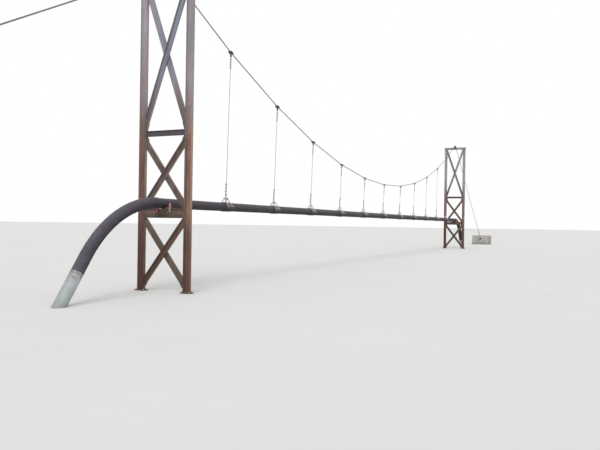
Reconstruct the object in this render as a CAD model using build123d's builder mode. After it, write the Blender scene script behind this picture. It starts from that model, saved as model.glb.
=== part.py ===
from build123d import *
from math import acos, atan, cos, degrees, radians, sin, tan
import os

os.makedirs("parts", exist_ok=True)

# A pipe bridge hung from one cable, as a 1:10 model in millimetres: 10 mm here is 100 mm on the bridge.
# X runs along the pipe, Z is up, and the origin is on the ground under the middle of the span.
# "near" is the -X end and "far" the +X end. "front" is the -Y side and "back" the +Y side.

# Span
bay = 400.0
bays = 12
pipe_z = 286.0

# Pipe
pipe_od = 32.4
bend_od = 36.0
bend_radius = 385.0
bend_angle = 54.0
bend_start = 40.0
bend_straight = 2.0
socket_depth = 12.0
coating_z = 85.0
riser_wall = 1.2

# Tower legs, beams and struts: depth, width, web, flange and root radius of each rolled section
leg_section = (24.0, 12.0, 0.62, 0.98, 1.5)
pipe_beam_section = (30.0, 12.0, 0.71, 1.07, 1.5)
strut_section = (18.0, 9.1, 0.53, 0.8, 0.9)
cap_section = (20.0, 10.0, 0.56, 0.85, 1.2)
leg_spacing = 180.0
pipe_beam_top = 269.0
strut_z = 514.0
cap_beam_top = 1016.0
cap_overhang = 4.0
leg_cap = 1.0
stiffener = 1.0

# Braces: channels laid web to web on each side of the gusset plates, and how far from the beams
# above and below each panel their lines meet the legs
brace_depth = 19.0
brace_flange_width = 7.5
brace_web = 0.7
brace_flange = 1.1
brace_foot_z = 25.0
lower_drop = 11.0
middle_rise = 5.0
middle_drop = 22.0
upper_rise = 16.0
upper_drop = 12.0
brace_clearance = 0.8
gusset = 0.8
gusset_width = 13.0
gusset_height = 30.0
packing_size = 15.0

# Base plates
base_length = 24.0
base_width = 40.0
base_plate = 2.5
base_rib_height = 12.0
base_rib = 1.0
base_hole_d = 2.6
base_hole_spacing_x = 16.0
base_hole_spacing_y = 32.0

# Cradle and guide posts that keep the pipe on the beam
cradle_length = 12.0
cradle_half_width = 12.0
cradle_height = 5.0
post_height = 18.0
post_plate_drop = 10.0
post_width = 8.0
post_top_width = 6.5
post_depth = 11.0
post_top_depth = 5.5
post_plate = 1.2
post_y = 24.5

# Main cable, saddles and backstays
cable_d = 4.4
cable_top_z = 1042.0
cable_sag = 548.0
stay_slope = 0.567
saddle_radius = 70.0
saddle_width = 9.0
saddle_lip = 1.6
saddle_base = 2.0
saddle_base_width = 20.0
saddle_base_length = 66.0
saddle_rib = 6.4
saddle_rib_xs = (-16.5, 0.0, 16.5)
run_gap = 0.2

# Hanger ropes and the bands that hold them to the cable
hanger_d = 2.2
eye_radius = 3.4
upper_tail = 50.0
lower_tail = 30.0
band_length = 17.0
band_wall = 1.5
band_flange = 3.6
band_flange_thickness = 1.4
band_split = 1.0
ear_drop = 9.0
ear_top = 1.8
ear_width = 6.4
ear_thickness = 1.2
ear_spacing = 4.0
pin_d = 2.4
pin_head_d = 3.8
pin_head = 0.8

# Pipe clamps and the yokes above them, all a little nearer to the near tower than their bands
clamp_length = 52.0
clamp_drift = 21.0
clamp_wall = 0.8
clamp_flange_width = 6.0
clamp_flange = 1.0
clamp_split = 4.4
lining = 0.5
lining_length = 56.0
yoke_spacing = 24.0
yoke_plate = 1.2
yoke_strap = 3.6
yoke_foot_y = 21.6
yoke_foot_length = 8.0
yoke_foot_width = 4.0
yoke_foot = 1.0
yoke_eye_d = 6.4

# Anchors
stay_end_z = 72.0
stay_tail = 60.0
anchor_length = 230.0
anchor_width = 200.0
anchor_height = 110.0
anchor_front_height = 34.0
anchor_plate = 2.0
anchor_plate_size = 26.0
lug_length = 12.0
lug_thickness = 4.4
lug_eye_d = 10.0
screw_d = 3.6
screw_length = 24.0
fork_length = 9.0
fork_width = 6.6
fork_arm = 1.6
stay_pin_d = 3.4
frame_length = 52.0
frame_width = 11.0
frame_bar = 2.4
boss_d = 7.0
boss_length = 7.0
stay_eye_radius = 6.0

fit = 0.1

# Derived sizes
tower_x = bay * bays / 2
hanger_xs = [bay * (i + 1) - tower_x for i in range(bays - 1)]
clamp_xs = [x - clamp_drift for x in hanger_xs]
pipe_r = pipe_od / 2
bend_r = bend_od / 2
cable_r = cable_d / 2
hanger_r = hanger_d / 2
pin_r = pin_d / 2
leg_face = leg_spacing / 2 - leg_section[0] / 2
rib_top = base_plate + base_rib_height
cap_beam_bottom = cap_beam_top - cap_section[0]
leg_top = cap_beam_bottom - leg_cap
cable_low_z = cable_top_z - cable_sag
lining_r = pipe_r + fit
clamp_r = lining_r + lining + fit
ends = {"near": -1, "far": 1}


def cable_z(x):
    """Height of the main cable, a parabola through the two tower tops."""
    return cable_low_z + cable_sag * (x / tower_x) ** 2


def write(part, name):
    part.label = name
    export_step(part, f"parts/{name}.step")


def i_beam(plane, section, length):
    """A rolled I-section from the plane, its depth along the plane's Y, with rounded roots."""
    depth, width, web, flange, root = section
    recess = (width - web) / 2
    with BuildPart() as beam:
        with BuildSketch(plane) as profile:
            Rectangle(width, depth)
            with Locations((-(web + recess) / 2, 0), ((web + recess) / 2, 0)):
                Rectangle(recess, depth - 2 * flange, mode=Mode.SUBTRACT)
            roots = profile.vertices().filter_by(lambda v: abs(abs(v.X) - web / 2) < web / 10)
            fillet(roots, root)
        extrude(amount=length)
    return beam.part


def rod(start, end, radius):
    """A straight round bar between two points."""
    run = Vector(*end) - Vector(*start)
    with BuildPart() as bar:
        with BuildSketch(Plane(origin=start, z_dir=run)):
            Circle(radius)
        extrude(amount=run.length)
    return bar.part


# Pipe: one straight length between the sockets of the two bends
socket_x = tower_x + bend_start
span_end = socket_x + socket_depth - fit
with BuildPart() as pipe_span:
    with BuildSketch(Plane.YZ.offset(-span_end)):
        with Locations((0, pipe_z)):
            Circle(pipe_r)
    extrude(amount=2 * span_end)
write(pipe_span.part, "pipe_span")

# Bends turn the pipe down towards the ground, and coated risers carry it into the ground
fall_angle = radians(bend_angle)
bend_x = socket_x + bend_straight
bend_end_x = bend_x + bend_radius * sin(fall_angle)
bend_end_z = pipe_z - bend_radius * (1 - cos(fall_angle))
coating_x = bend_end_x + (bend_end_z - coating_z) / tan(fall_angle)
riser_length = coating_z / sin(fall_angle)


def pipe_bend(side):
    """The wider bend, from its socket at the tower down to the top of the riser."""
    mouth = Plane(origin=(side * socket_x, 0, pipe_z), z_dir=(side, 0, 0))
    with BuildPart() as bend:
        with BuildLine(Plane.XZ) as route:
            Line((side * socket_x, pipe_z), (side * bend_x, pipe_z))
            JernArc((side * bend_x, pipe_z), (side, 0), bend_radius, -side * bend_angle)
            Line((side * bend_end_x, bend_end_z), (side * coating_x, coating_z))
        with BuildSketch(mouth):
            Circle(bend_r)
        sweep(path=route.line)
        with BuildSketch(mouth):
            Circle(pipe_r + fit)
        extrude(amount=socket_depth, mode=Mode.SUBTRACT)
    return bend.part


def pipe_riser(side):
    """The straight riser, a tube cut off level with the ground."""
    down = Vector(side * cos(fall_angle), 0, -sin(fall_angle))
    with BuildPart() as riser:
        with BuildSketch(Plane(origin=(side * coating_x, 0, coating_z), z_dir=down)):
            Circle(bend_r)
            Circle(bend_r - riser_wall, mode=Mode.SUBTRACT)
        extrude(amount=riser_length + bend_od)
        split(bisect_by=Plane.XY, keep=Keep.TOP)
    return riser.part


for end, side in ends.items():
    write(pipe_bend(side), f"{end}_pipe_bend")
    write(pipe_riser(side), f"{end}_pipe_riser")


# Towers
pipe_beam_z = pipe_beam_top - pipe_beam_section[0] / 2
cap_beam_z = cap_beam_top - cap_section[0] / 2
strut_top = strut_z + strut_section[0] / 2
strut_bottom = strut_z - strut_section[0] / 2
pipe_beam_bottom = pipe_beam_top - pipe_beam_section[0]


def cross_beam(x, z, section, half_length):
    """A beam along Y."""
    start = Plane(origin=(x, -half_length, z), x_dir=(1, 0, 0), z_dir=(0, 1, 0))
    return i_beam(start, section, 2 * half_length)


def stiffened(beam, x, z, section, stiffener_ys):
    """The beam with a pair of plates across its web at each place."""
    depth, width, web, flange, root = section
    with BuildPart() as built:
        add(beam)
        with Locations(*[(x, y, z) for y in stiffener_ys]):
            Box(width - web, stiffener, depth - 2 * flange + fit)
    return built.part


def base_plates(x):
    """The two foot plates with their bolt holes and ribs."""
    with BuildPart() as plates:
        with Locations((x, -leg_spacing / 2, base_plate / 2), (x, leg_spacing / 2, base_plate / 2)):
            Box(base_length, base_width, base_plate)
            with GridLocations(base_hole_spacing_x, base_hole_spacing_y, 2, 2):
                Hole(base_hole_d / 2)
        for leg_y in (-leg_spacing / 2, leg_spacing / 2):
            for rib_side in (-1, 1):
                inner = leg_y + rib_side * leg_section[0] / 2
                outer = leg_y + rib_side * (base_width / 2 - base_rib)
                with BuildSketch(Plane.YZ.offset(x - base_rib / 2)):
                    with BuildLine():
                        Polyline((inner, base_plate), (outer, base_plate), (inner, rib_top), close=True)
                    make_face()
                extrude(amount=base_rib)
    return plates.part


# Each panel of bracing: where the lines of its bars meet the legs, and the heights that its bars and
# plates keep between
panels = [
    (brace_foot_z, pipe_beam_bottom - lower_drop, rib_top, pipe_beam_bottom),
    (pipe_beam_top + middle_rise, strut_bottom - middle_drop, pipe_beam_top, strut_bottom),
    (strut_top + upper_rise, cap_beam_bottom - upper_drop, strut_top, cap_beam_bottom),
]


def brace(x, outward, rise, low, high, bottom, top):
    """A channel across one panel, its flanges pointing outward, trimmed clear of the legs and beams."""
    foot = Vector(x, -rise * leg_face, low)
    run = Vector(0, 2 * rise * leg_face, high - low)
    start = foot - run.normalized() * brace_depth
    with BuildPart() as bar:
        with BuildSketch(Plane(origin=start, x_dir=(outward, 0, 0), z_dir=run)):
            with Locations((gusset / 2 + brace_flange_width / 2, 0)):
                Rectangle(brace_flange_width, brace_depth)
            with Locations((gusset / 2 + brace_web + brace_flange_width / 2, 0)):
                Rectangle(brace_flange_width, brace_depth - 2 * brace_flange, mode=Mode.SUBTRACT)
        extrude(amount=run.length + 2 * brace_depth)
        with Locations((x, 0, (bottom + top) / 2)):
            Box(4 * brace_flange_width, 2 * (leg_face - brace_clearance), top - bottom - 2 * brace_clearance,
                mode=Mode.INTERSECT)
    return bar.part


def braces(x, outward, rise):
    """One channel in each panel, all climbing towards the front or all towards the back."""
    with BuildPart() as bars:
        for low, high, bottom, top in panels:
            add(brace(x, outward, rise, low, high, bottom, top))
    return bars.part


def gussets(x):
    """Plates on the legs where the bars meet them, and packings where the bars cross."""
    with BuildPart() as plates:
        for low, high, bottom, top in panels:
            for line_end in (low, high):
                foot = max(line_end - gusset_height / 2, bottom + brace_clearance)
                head = min(line_end + gusset_height / 2, top - brace_clearance)
                with Locations((x, gusset_width / 2 - leg_face, (foot + head) / 2),
                               (x, leg_face - gusset_width / 2, (foot + head) / 2)):
                    Box(gusset, gusset_width, head - foot)
            with Locations((x, 0, (low + high) / 2)):
                Box(gusset, packing_size, packing_size)
    return plates.part


# Saddles: the cable bends over each one on an arc, between a span tangent and a stay tangent
span_angle = atan((cable_z(tower_x) - cable_z(tower_x - bay)) / bay)
stay_angle = atan(stay_slope)
tangent_length = saddle_radius * tan((span_angle + stay_angle) / 2)
span_end_x = tower_x - tangent_length * cos(span_angle)
span_end_z = cable_top_z - tangent_length * sin(span_angle)
stay_start_x = tower_x + tangent_length * cos(stay_angle)
stay_start_z = cable_top_z - tangent_length * sin(stay_angle)
arc_x = span_end_x + saddle_radius * sin(span_angle)
arc_z = span_end_z - saddle_radius * cos(span_angle)


def cable_saddle(side):
    """A casting with a curved trough for the cable, ribs and a foot plate."""
    centre = side * tower_x
    foot = cap_beam_top + saddle_base
    trough_r = cable_r + fit
    with BuildPart() as saddle:
        with BuildSketch(Plane.XZ.offset(-saddle_width / 2)):
            with Locations((side * arc_x, arc_z)):
                Circle(saddle_radius + saddle_lip)
            with Locations((centre, foot + saddle_radius / 2)):
                Rectangle(saddle_base_length - 2 * saddle_base, saddle_radius, mode=Mode.INTERSECT)
        extrude(amount=saddle_width)
        with Locations((centre, 0, cap_beam_top + saddle_base / 2)):
            Box(saddle_base_length, saddle_base_width, saddle_base)
        with Locations(*[(centre + step, 0, foot + saddle_rib / 2) for step in saddle_rib_xs]):
            Box(saddle_base, saddle_base_width - saddle_base, saddle_rib)
        with BuildSketch(Plane(origin=(side * arc_x, 0, arc_z), x_dir=(0, 1, 0), z_dir=(1, 0, 0))):
            with Locations((0, saddle_radius)):
                Circle(trough_r)
            with Locations((0, saddle_radius + saddle_lip)):
                Rectangle(2 * trough_r, 2 * saddle_lip)
        revolve(axis=Axis((side * arc_x, 0, arc_z), (0, 1, 0)), mode=Mode.SUBTRACT)
    return saddle.part


cap_half = leg_spacing / 2 + leg_section[0] / 2 + cap_overhang
for end, side in ends.items():
    x = side * tower_x
    for name, y in (("front", -leg_spacing / 2), ("back", leg_spacing / 2)):
        leg = i_beam(Plane(origin=(x, y, base_plate), x_dir=(1, 0, 0), z_dir=(0, 0, 1)), leg_section,
                     leg_top - base_plate)
        write(leg, f"{end}_leg_{name}")
    write(base_plates(x), f"{end}_base_plates")
    pipe_beam = cross_beam(x, pipe_beam_z, pipe_beam_section, leg_face)
    cap_beam = cross_beam(x, cap_beam_z, cap_section, cap_half)
    over_legs = (-leg_spacing / 2, 0, leg_spacing / 2)
    write(stiffened(pipe_beam, x, pipe_beam_z, pipe_beam_section, (-post_y, 0, post_y)), f"{end}_pipe_beam")
    write(cross_beam(x, strut_z, strut_section, leg_face), f"{end}_middle_strut")
    write(stiffened(cap_beam, x, cap_beam_z, cap_section, over_legs), f"{end}_cap_beam")
    write(braces(x, side, -1), f"{end}_rising_braces")
    write(braces(x, -side, 1), f"{end}_falling_braces")
    write(gussets(x), f"{end}_gussets")
    write(cable_saddle(side), f"{end}_cable_saddle")

with BuildPart() as leg_caps:
    with Locations((0, 0, leg_top + leg_cap / 2)):
        with GridLocations(2 * tower_x, leg_spacing, 2, 2):
            Box(leg_section[1] + 2 * leg_cap, leg_section[0], leg_cap)
write(leg_caps.part, "leg_caps")

with BuildPart() as pipe_cradles:
    for x in (-tower_x, tower_x):
        with BuildSketch(Plane.YZ.offset(x - cradle_length / 2)):
            with Locations((0, pipe_beam_top + cradle_height / 2)):
                Rectangle(2 * cradle_half_width, cradle_height)
            with Locations((0, pipe_z)):
                Circle(pipe_r + fit, mode=Mode.SUBTRACT)
        extrude(amount=cradle_length)
write(pipe_cradles.part, "pipe_cradles")


def guide_post(side, y_side):
    """A tee beside the pipe: a plate that laps the beam's outer edge, and a stem that stands on it."""
    face = side * (tower_x + pipe_beam_section[1] / 2 + fit)
    top = pipe_beam_top + post_height
    plate_height = post_height + post_plate_drop
    side_angle = degrees(atan(2 * plate_height / (post_width - post_top_width)))
    with BuildPart() as post:
        with BuildSketch(Plane.YZ.offset(face)):
            with Locations((y_side * post_y, top - plate_height / 2)):
                Trapezoid(post_width, plate_height, side_angle)
        extrude(amount=side * post_plate)
        with BuildSketch(Plane.XZ.offset(-y_side * post_y - post_plate / 2)):
            with BuildLine():
                Polyline((face, pipe_beam_top), (face - side * post_depth, pipe_beam_top),
                         (face - side * post_top_depth, top), (face, top), close=True)
            make_face()
        extrude(amount=post_plate)
    return post.part


with BuildPart() as guide_posts:
    for side in ends.values():
        for y_side in (-1, 1):
            add(guide_post(side, y_side))
write(guide_posts.part, "guide_posts")


def cable_over_saddle(side):
    """The curved run of the cable that lies in the saddle."""
    top = Vector(side * stay_start_x, 0, stay_start_z)
    tangent = Vector(-side * cos(stay_angle), 0, sin(stay_angle))
    turn = side * degrees(span_angle + stay_angle)
    with BuildPart() as rope:
        with BuildLine(Plane.XZ) as route:
            JernArc((top.X, top.Z), (tangent.X, tangent.Z), saddle_radius, turn)
        with BuildSketch(Plane(origin=top, z_dir=tangent)):
            Circle(cable_r)
        sweep(path=route.line)
    return rope.part


# Main cable: straight runs that meet inside the bands, each ending a little short of the next
cable_points = [Vector(x, 0, cable_z(x)) for x in hanger_xs]
cable_points.insert(0, Vector(-span_end_x, 0, span_end_z))
cable_points.append(Vector(span_end_x, 0, span_end_z))
with BuildPart() as main_cable:
    for start, stop in zip(cable_points, cable_points[1:]):
        step = (stop - start).normalized() * run_gap
        add(rod(start + step, stop - step, cable_r))
    for side in ends.values():
        add(cable_over_saddle(side))
write(main_cable.part, "main_cable")

# Anchors: everything on the line of the stay is placed by its distance up from the block
anchor_x = tower_x + (cable_top_z - stay_end_z) / stay_slope
lug_z = anchor_plate + lug_length
fork_gap = lug_thickness + 2 * fit
fork_bridge = lug_z + fork_length
frame_start = fork_bridge + fork_arm + screw_length / 2
frame_end = frame_start + frame_length
upper_bridge = frame_end + screw_length / 2
upper_pin = upper_bridge + fork_arm + fork_length
stay_eye = upper_pin + stay_eye_radius - cable_r - stay_pin_d / 2 - fit


def up_stay(side, distance):
    """A plane across the stay, some distance up from the anchor block, its Y below the stay."""
    away = Vector(-side * cos(stay_angle), 0, sin(stay_angle))
    start = Vector(side * anchor_x, 0, stay_end_z)
    return Plane(origin=start + away * distance, x_dir=(0, side, 0), z_dir=away)


def ring(centre, across, up, ring_radius, rope_radius):
    """A closed loop of rope in the plane of two directions."""
    with BuildPart() as loop:
        with BuildSketch(Plane(origin=centre + up * ring_radius, z_dir=across)):
            Circle(rope_radius)
        revolve(axis=Axis(centre, across.cross(up)))
    return loop.part


def backstay(side):
    """The rope from the saddle down to its eye, with the tail turned back beside it."""
    eye = up_stay(side, stay_eye)
    neck = up_stay(side, stay_eye + stay_eye_radius)
    beside = cable_d - 2 * fit
    tail = up_stay(side, stay_eye + (stay_eye_radius ** 2 - beside ** 2) ** 0.5)
    tail_foot = tail.origin + tail.y_dir * beside
    top = Vector(side * stay_start_x, 0, stay_start_z) - neck.z_dir * run_gap
    with BuildPart() as rope:
        add(rod(neck.origin, top, cable_r))
        add(ring(eye.origin, eye.y_dir, eye.z_dir, stay_eye_radius, cable_r))
        add(rod(tail_foot, tail_foot + tail.z_dir * stay_tail, cable_r))
    return rope.part


def anchor_block(side):
    """The concrete block, with a face square to the stay."""
    front_x = anchor_x + (anchor_front_height - stay_end_z) * tan(stay_angle)
    crown_x = anchor_x + (anchor_height - stay_end_z) * tan(stay_angle)
    rear_x = front_x + anchor_length
    outline = [(front_x, 0), (front_x, anchor_front_height), (crown_x, anchor_height),
               (rear_x, anchor_height), (rear_x, 0)]
    with BuildPart() as block:
        with BuildSketch(Plane.XZ.offset(-anchor_width / 2)):
            with BuildLine():
                Polyline(*[(side * x, z) for x, z in outline], close=True)
            make_face()
        extrude(amount=anchor_width)
    return block.part


def anchor_lug(side):
    """The plate on the block's face and the lug that the turnbuckle pins to."""
    face = up_stay(side, 0)
    edge = Plane(origin=face.origin - Vector(0, lug_thickness / 2, 0), x_dir=face.z_dir, z_dir=(0, 1, 0))
    with BuildPart() as lug:
        with BuildSketch(face):
            Rectangle(anchor_plate_size, anchor_plate_size)
        extrude(amount=anchor_plate)
        with BuildSketch(edge):
            with Locations((lug_z / 2, 0)):
                Rectangle(lug_z, lug_eye_d)
            with Locations((lug_z, 0)):
                Circle(lug_eye_d / 2)
                Circle(stay_pin_d / 2 + fit, mode=Mode.SUBTRACT)
        extrude(amount=lug_thickness)
    return lug.part


def turnbuckle_screw(side, pin_at, way):
    """A fork with its pin, and the screw that runs up or down the stay into the turnbuckle's frame."""
    pin = up_stay(side, pin_at)
    along = pin.z_dir * way
    half_width = fork_gap / 2 + fork_arm
    head = Vector(0, half_width + pin_head, 0)
    bridge = pin.origin + along * fork_length
    outer = Plane(origin=pin.origin - Vector(0, half_width, 0), x_dir=along, z_dir=(0, 1, 0))
    inner = Plane(origin=pin.origin - Vector(0, fork_gap / 2, 0), x_dir=along, z_dir=(0, 1, 0))
    with BuildPart() as screw:
        with BuildSketch(outer):
            with Locations(((fork_length + fork_arm) / 2, 0)):
                Rectangle(fork_length + fork_arm, fork_width)
            Circle(fork_width / 2)
        extrude(amount=2 * half_width)
        with BuildSketch(inner):
            with Locations(((fork_length - fork_width) / 2, 0)):
                Rectangle(fork_length + fork_width, 2 * fork_width)
        extrude(amount=fork_gap, mode=Mode.SUBTRACT)
        add(rod(bridge, bridge + along * (fork_arm + screw_length), screw_d / 2))
        add(rod(pin.origin - head, pin.origin + head, stay_pin_d / 2))
    return screw.part


def turnbuckle_frame(side):
    """The open frame with a threaded boss at each end."""
    base = up_stay(side, frame_start)
    top = up_stay(side, frame_end)
    edge = Plane(origin=base.origin - Vector(0, frame_bar / 2, 0), x_dir=base.z_dir, z_dir=(0, 1, 0))
    with BuildPart() as frame:
        with BuildSketch(edge):
            with Locations((frame_length / 2, 0)):
                RectangleRounded(frame_length, frame_width, frame_bar)
                SlotOverall(frame_length - 2 * boss_length, frame_width - 2 * frame_bar, mode=Mode.SUBTRACT)
        extrude(amount=frame_bar)
        for plane, way in ((base, 1), (top, -1)):
            with BuildSketch(plane):
                Circle(boss_d / 2)
            extrude(amount=way * boss_length)
        for plane, way in ((base, 1), (top, -1)):
            with BuildSketch(plane):
                Circle(screw_d / 2 + fit)
            extrude(amount=way * (boss_length + frame_bar), mode=Mode.SUBTRACT)
    return frame.part


for end, side in ends.items():
    write(backstay(side), f"{end}_backstay")
    write(anchor_block(side), f"{end}_anchor_block")

with BuildPart() as anchor_lugs:
    for side in ends.values():
        add(anchor_lug(side))
write(anchor_lugs.part, "anchor_lugs")

with BuildPart() as turnbuckle_frames:
    for side in ends.values():
        add(turnbuckle_frame(side))
write(turnbuckle_frames.part, "turnbuckle_frames")

with BuildPart() as turnbuckle_screws:
    for side in ends.values():
        add(turnbuckle_screw(side, lug_z, 1))
        add(turnbuckle_screw(side, upper_pin, -1))
write(turnbuckle_screws.part, "turnbuckle_screws")


# Pipe clamps: two half shells over a lining, with flanges that stop short of each other
def half_shell(inner, outer, split, length, flange_reach, flange_thickness):
    """The upper half of a ring about the X axis, with a flange on each side."""
    with BuildPart() as shell:
        with BuildSketch(Plane.YZ.offset(-length / 2)):
            Circle(outer)
            if flange_reach:
                with Locations((0, split / 2 + flange_thickness / 2)):
                    Rectangle(2 * (outer + flange_reach), flange_thickness)
            Circle(inner, mode=Mode.SUBTRACT)
            with Locations((0, split / 2 - outer)):
                Rectangle(4 * outer, 2 * outer, mode=Mode.SUBTRACT)
        extrude(amount=length)
    return shell.part


at_clamps = [(x, 0, pipe_z) for x in clamp_xs]
clamp_outer_r = clamp_r + clamp_wall
upper_clamp = half_shell(clamp_r, clamp_outer_r, clamp_split, clamp_length, clamp_flange_width,
                         clamp_flange)
upper_lining = half_shell(lining_r, lining_r + lining, clamp_split / 2, lining_length, 0, 0)

with BuildPart() as upper_pipe_clamps:
    with Locations(*at_clamps):
        add(upper_clamp)
write(upper_pipe_clamps.part, "upper_pipe_clamps")

with BuildPart() as lower_pipe_clamps:
    with Locations(*at_clamps):
        add(upper_clamp.mirror(Plane.XY))
write(lower_pipe_clamps.part, "lower_pipe_clamps")

with BuildPart() as clamp_linings:
    with Locations(*at_clamps):
        add(upper_lining)
        add(upper_lining.mirror(Plane.XY))
write(clamp_linings.part, "clamp_linings")

# Yokes: straps from the clamp's flanges, just clear of its shell, to an eye above the pipe
foot_z = clamp_split / 2 + clamp_flange + yoke_foot
strap_inner = clamp_outer_r + fit
strap_middle = strap_inner + yoke_strap / 2
foot_point = Vector(yoke_foot_y, foot_z)
strap_angle = atan(foot_z / yoke_foot_y) + acos(strap_middle / foot_point.length)
eye_z = strap_middle / sin(strap_angle)


def strap_y(distance, height):
    """How far out a strap's line is at a height, for its distance from the pipe's centre."""
    return (distance - height * sin(strap_angle)) / cos(strap_angle)


def yoke():
    """A yoke plate about the centre of the pipe, with a foot on each flange of the clamp."""
    strap_outer = strap_inner + yoke_strap
    right = [(strap_y(strap_outer, eye_z), eye_z), (strap_y(strap_outer, foot_z), foot_z),
             (strap_y(strap_inner, foot_z), foot_z), (0, strap_inner / sin(strap_angle))]
    left = [(-y, z) for y, z in right[2::-1]]
    with BuildPart() as plate:
        with BuildSketch(Plane.YZ.offset(-yoke_plate / 2)):
            with BuildLine():
                Polyline(*right, *left, close=True)
            make_face()
            with Locations((0, eye_z)):
                Circle(yoke_eye_d / 2)
                Circle(pin_r + fit, mode=Mode.SUBTRACT)
        extrude(amount=yoke_plate)
        with Locations((0, -yoke_foot_y, foot_z - yoke_foot / 2), (0, yoke_foot_y, foot_z - yoke_foot / 2)):
            Box(yoke_foot_length, yoke_foot_width, yoke_foot)
    return plate.part


yoke_shape = yoke()
with BuildPart() as yokes:
    with Locations(*[(x + step * yoke_spacing / 2, 0, pipe_z) for x in clamp_xs for step in (-1, 1)]):
        add(yoke_shape)
write(yokes.part, "yokes")


def headed_pin(centre, axis, reach):
    """A pin through two plates, with a head on each end."""
    middle = Vector(centre)
    under_head = Vector(axis) * reach
    end = Vector(axis) * (reach + pin_head)
    with BuildPart() as pin:
        add(rod(middle - end, middle + end, pin_r))
        add(rod(middle - end, middle - under_head, pin_head_d / 2))
        add(rod(middle + under_head, middle + end, pin_head_d / 2))
    return pin.part


yoke_pin_reach = (yoke_spacing + yoke_plate) / 2 + fit
with BuildPart() as yoke_pins:
    for x in clamp_xs:
        add(headed_pin((x, 0, pipe_z + eye_z), (1, 0, 0), yoke_pin_reach))
write(yoke_pins.part, "yoke_pins")

# Cable bands: two halves clamped to the cable at its slope, the lower with ears that hang plumb
kink = cable_sag * bay / tower_x ** 2
band_inner = cable_r + fit + kink * band_length / 2
ear_y = ear_spacing / 2
ear_pin_reach = ear_y + ear_thickness / 2 + fit
band_top = half_shell(band_inner, band_inner + band_wall, band_split, band_length, band_flange,
                      band_flange_thickness)


def cable_slope(x):
    return degrees(atan(2 * cable_sag * x / tower_x ** 2))


def lower_band(x):
    """The lower half of a band with its two ears, about the cable's centre."""
    tilt = Rotation(0, -cable_slope(x), 0)
    with BuildPart() as band:
        add(tilt * band_top.mirror(Plane.XY))
        for y in (-ear_y, ear_y):
            with BuildSketch(Plane.XZ.offset(-y - ear_thickness / 2)):
                with Locations((0, -(ear_drop + ear_top) / 2)):
                    Rectangle(ear_width, ear_drop - ear_top)
                with Locations((0, -ear_drop)):
                    Circle(ear_width / 2)
                    Circle(pin_r + fit, mode=Mode.SUBTRACT)
            extrude(amount=ear_thickness)
        add(tilt * rod((-band_length, 0, 0), (band_length, 0, 0), band_inner), mode=Mode.SUBTRACT)
    return band.part


with BuildPart() as upper_cable_bands:
    for x in hanger_xs:
        add(Pos(x, 0, cable_z(x)) * Rotation(0, -cable_slope(x), 0) * band_top)
write(upper_cable_bands.part, "upper_cable_bands")

with BuildPart() as lower_cable_bands:
    for x in hanger_xs:
        add(Pos(x, 0, cable_z(x)) * lower_band(x))
write(lower_cable_bands.part, "lower_cable_bands")

with BuildPart() as hanger_pins:
    for x in hanger_xs:
        add(headed_pin((x, 0, cable_z(x) - ear_drop), (0, 1, 0), ear_pin_reach))
write(hanger_pins.part, "hanger_pins")


def hanger(x):
    """One rope from the band's pin to the yoke's pin, with an eye and a turned-back tail at each end."""
    slack = eye_radius - hanger_r - pin_r - fit
    band_pin = Vector(x, 0, cable_z(x) - ear_drop)
    yoke_pin = Vector(x - clamp_drift, 0, pipe_z + eye_z)
    up = (band_pin - yoke_pin).normalized()
    back = Vector(0, 1, 0)
    across = back.cross(up)
    top = band_pin - up * slack
    foot = yoke_pin + up * slack
    beside = hanger_d - fit
    tail_rise = (eye_radius ** 2 - beside ** 2) ** 0.5
    upper_end = top + across * beside - up * tail_rise
    lower_end = foot + back * beside + up * tail_rise
    with BuildPart() as rope:
        add(rod(foot + up * eye_radius, top - up * eye_radius, hanger_r))
        add(rod(upper_end, upper_end - up * upper_tail, hanger_r))
        add(rod(lower_end, lower_end + up * lower_tail, hanger_r))
        add(ring(top, across, up, eye_radius, hanger_r))
        add(ring(foot, back, up, eye_radius, hanger_r))
    return rope.part


with BuildPart() as hangers:
    for x in hanger_xs:
        add(hanger(x))
write(hangers.part, "hangers")
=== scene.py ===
import math

import bpy
import numpy as np
from bpy.props import FloatProperty, FloatVectorProperty, IntProperty, PointerProperty
from bpy.types import Operator, Panel, PropertyGroup
from mathutils import Matrix


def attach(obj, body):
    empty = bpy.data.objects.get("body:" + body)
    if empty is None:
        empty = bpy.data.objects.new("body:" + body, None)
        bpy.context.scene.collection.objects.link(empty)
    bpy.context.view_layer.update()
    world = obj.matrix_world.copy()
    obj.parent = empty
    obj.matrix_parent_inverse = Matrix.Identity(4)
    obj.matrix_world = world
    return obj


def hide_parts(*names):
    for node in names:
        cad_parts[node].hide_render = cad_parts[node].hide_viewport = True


bl_info = {
    "name": "Pipe bridge",
    "version": (1, 0, 0),
    "blender": (4, 5, 0),
    "location": "View3D > Sidebar > Pipe bridge",
    "description": "Ropes, clamps, fasteners and weathered finishes for a suspended pipe bridge",
    "category": "Object",
}

# The frame is in metres: X runs along the pipe, Z is up, and the origin is on the ground under the
# middle of the span. Sizes written here are those of the 1:10 model.
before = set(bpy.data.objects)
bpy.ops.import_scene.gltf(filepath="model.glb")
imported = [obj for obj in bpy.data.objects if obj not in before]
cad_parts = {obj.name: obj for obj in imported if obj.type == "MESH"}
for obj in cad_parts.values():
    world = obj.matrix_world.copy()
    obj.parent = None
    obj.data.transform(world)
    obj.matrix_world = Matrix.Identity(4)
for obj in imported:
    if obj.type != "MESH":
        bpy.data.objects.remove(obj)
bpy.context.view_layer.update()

MM = 0.001
ENDS = {"near": -1.0, "far": 1.0}
X_AXIS, Y_AXIS, Z_AXIS = np.eye(3)

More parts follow.
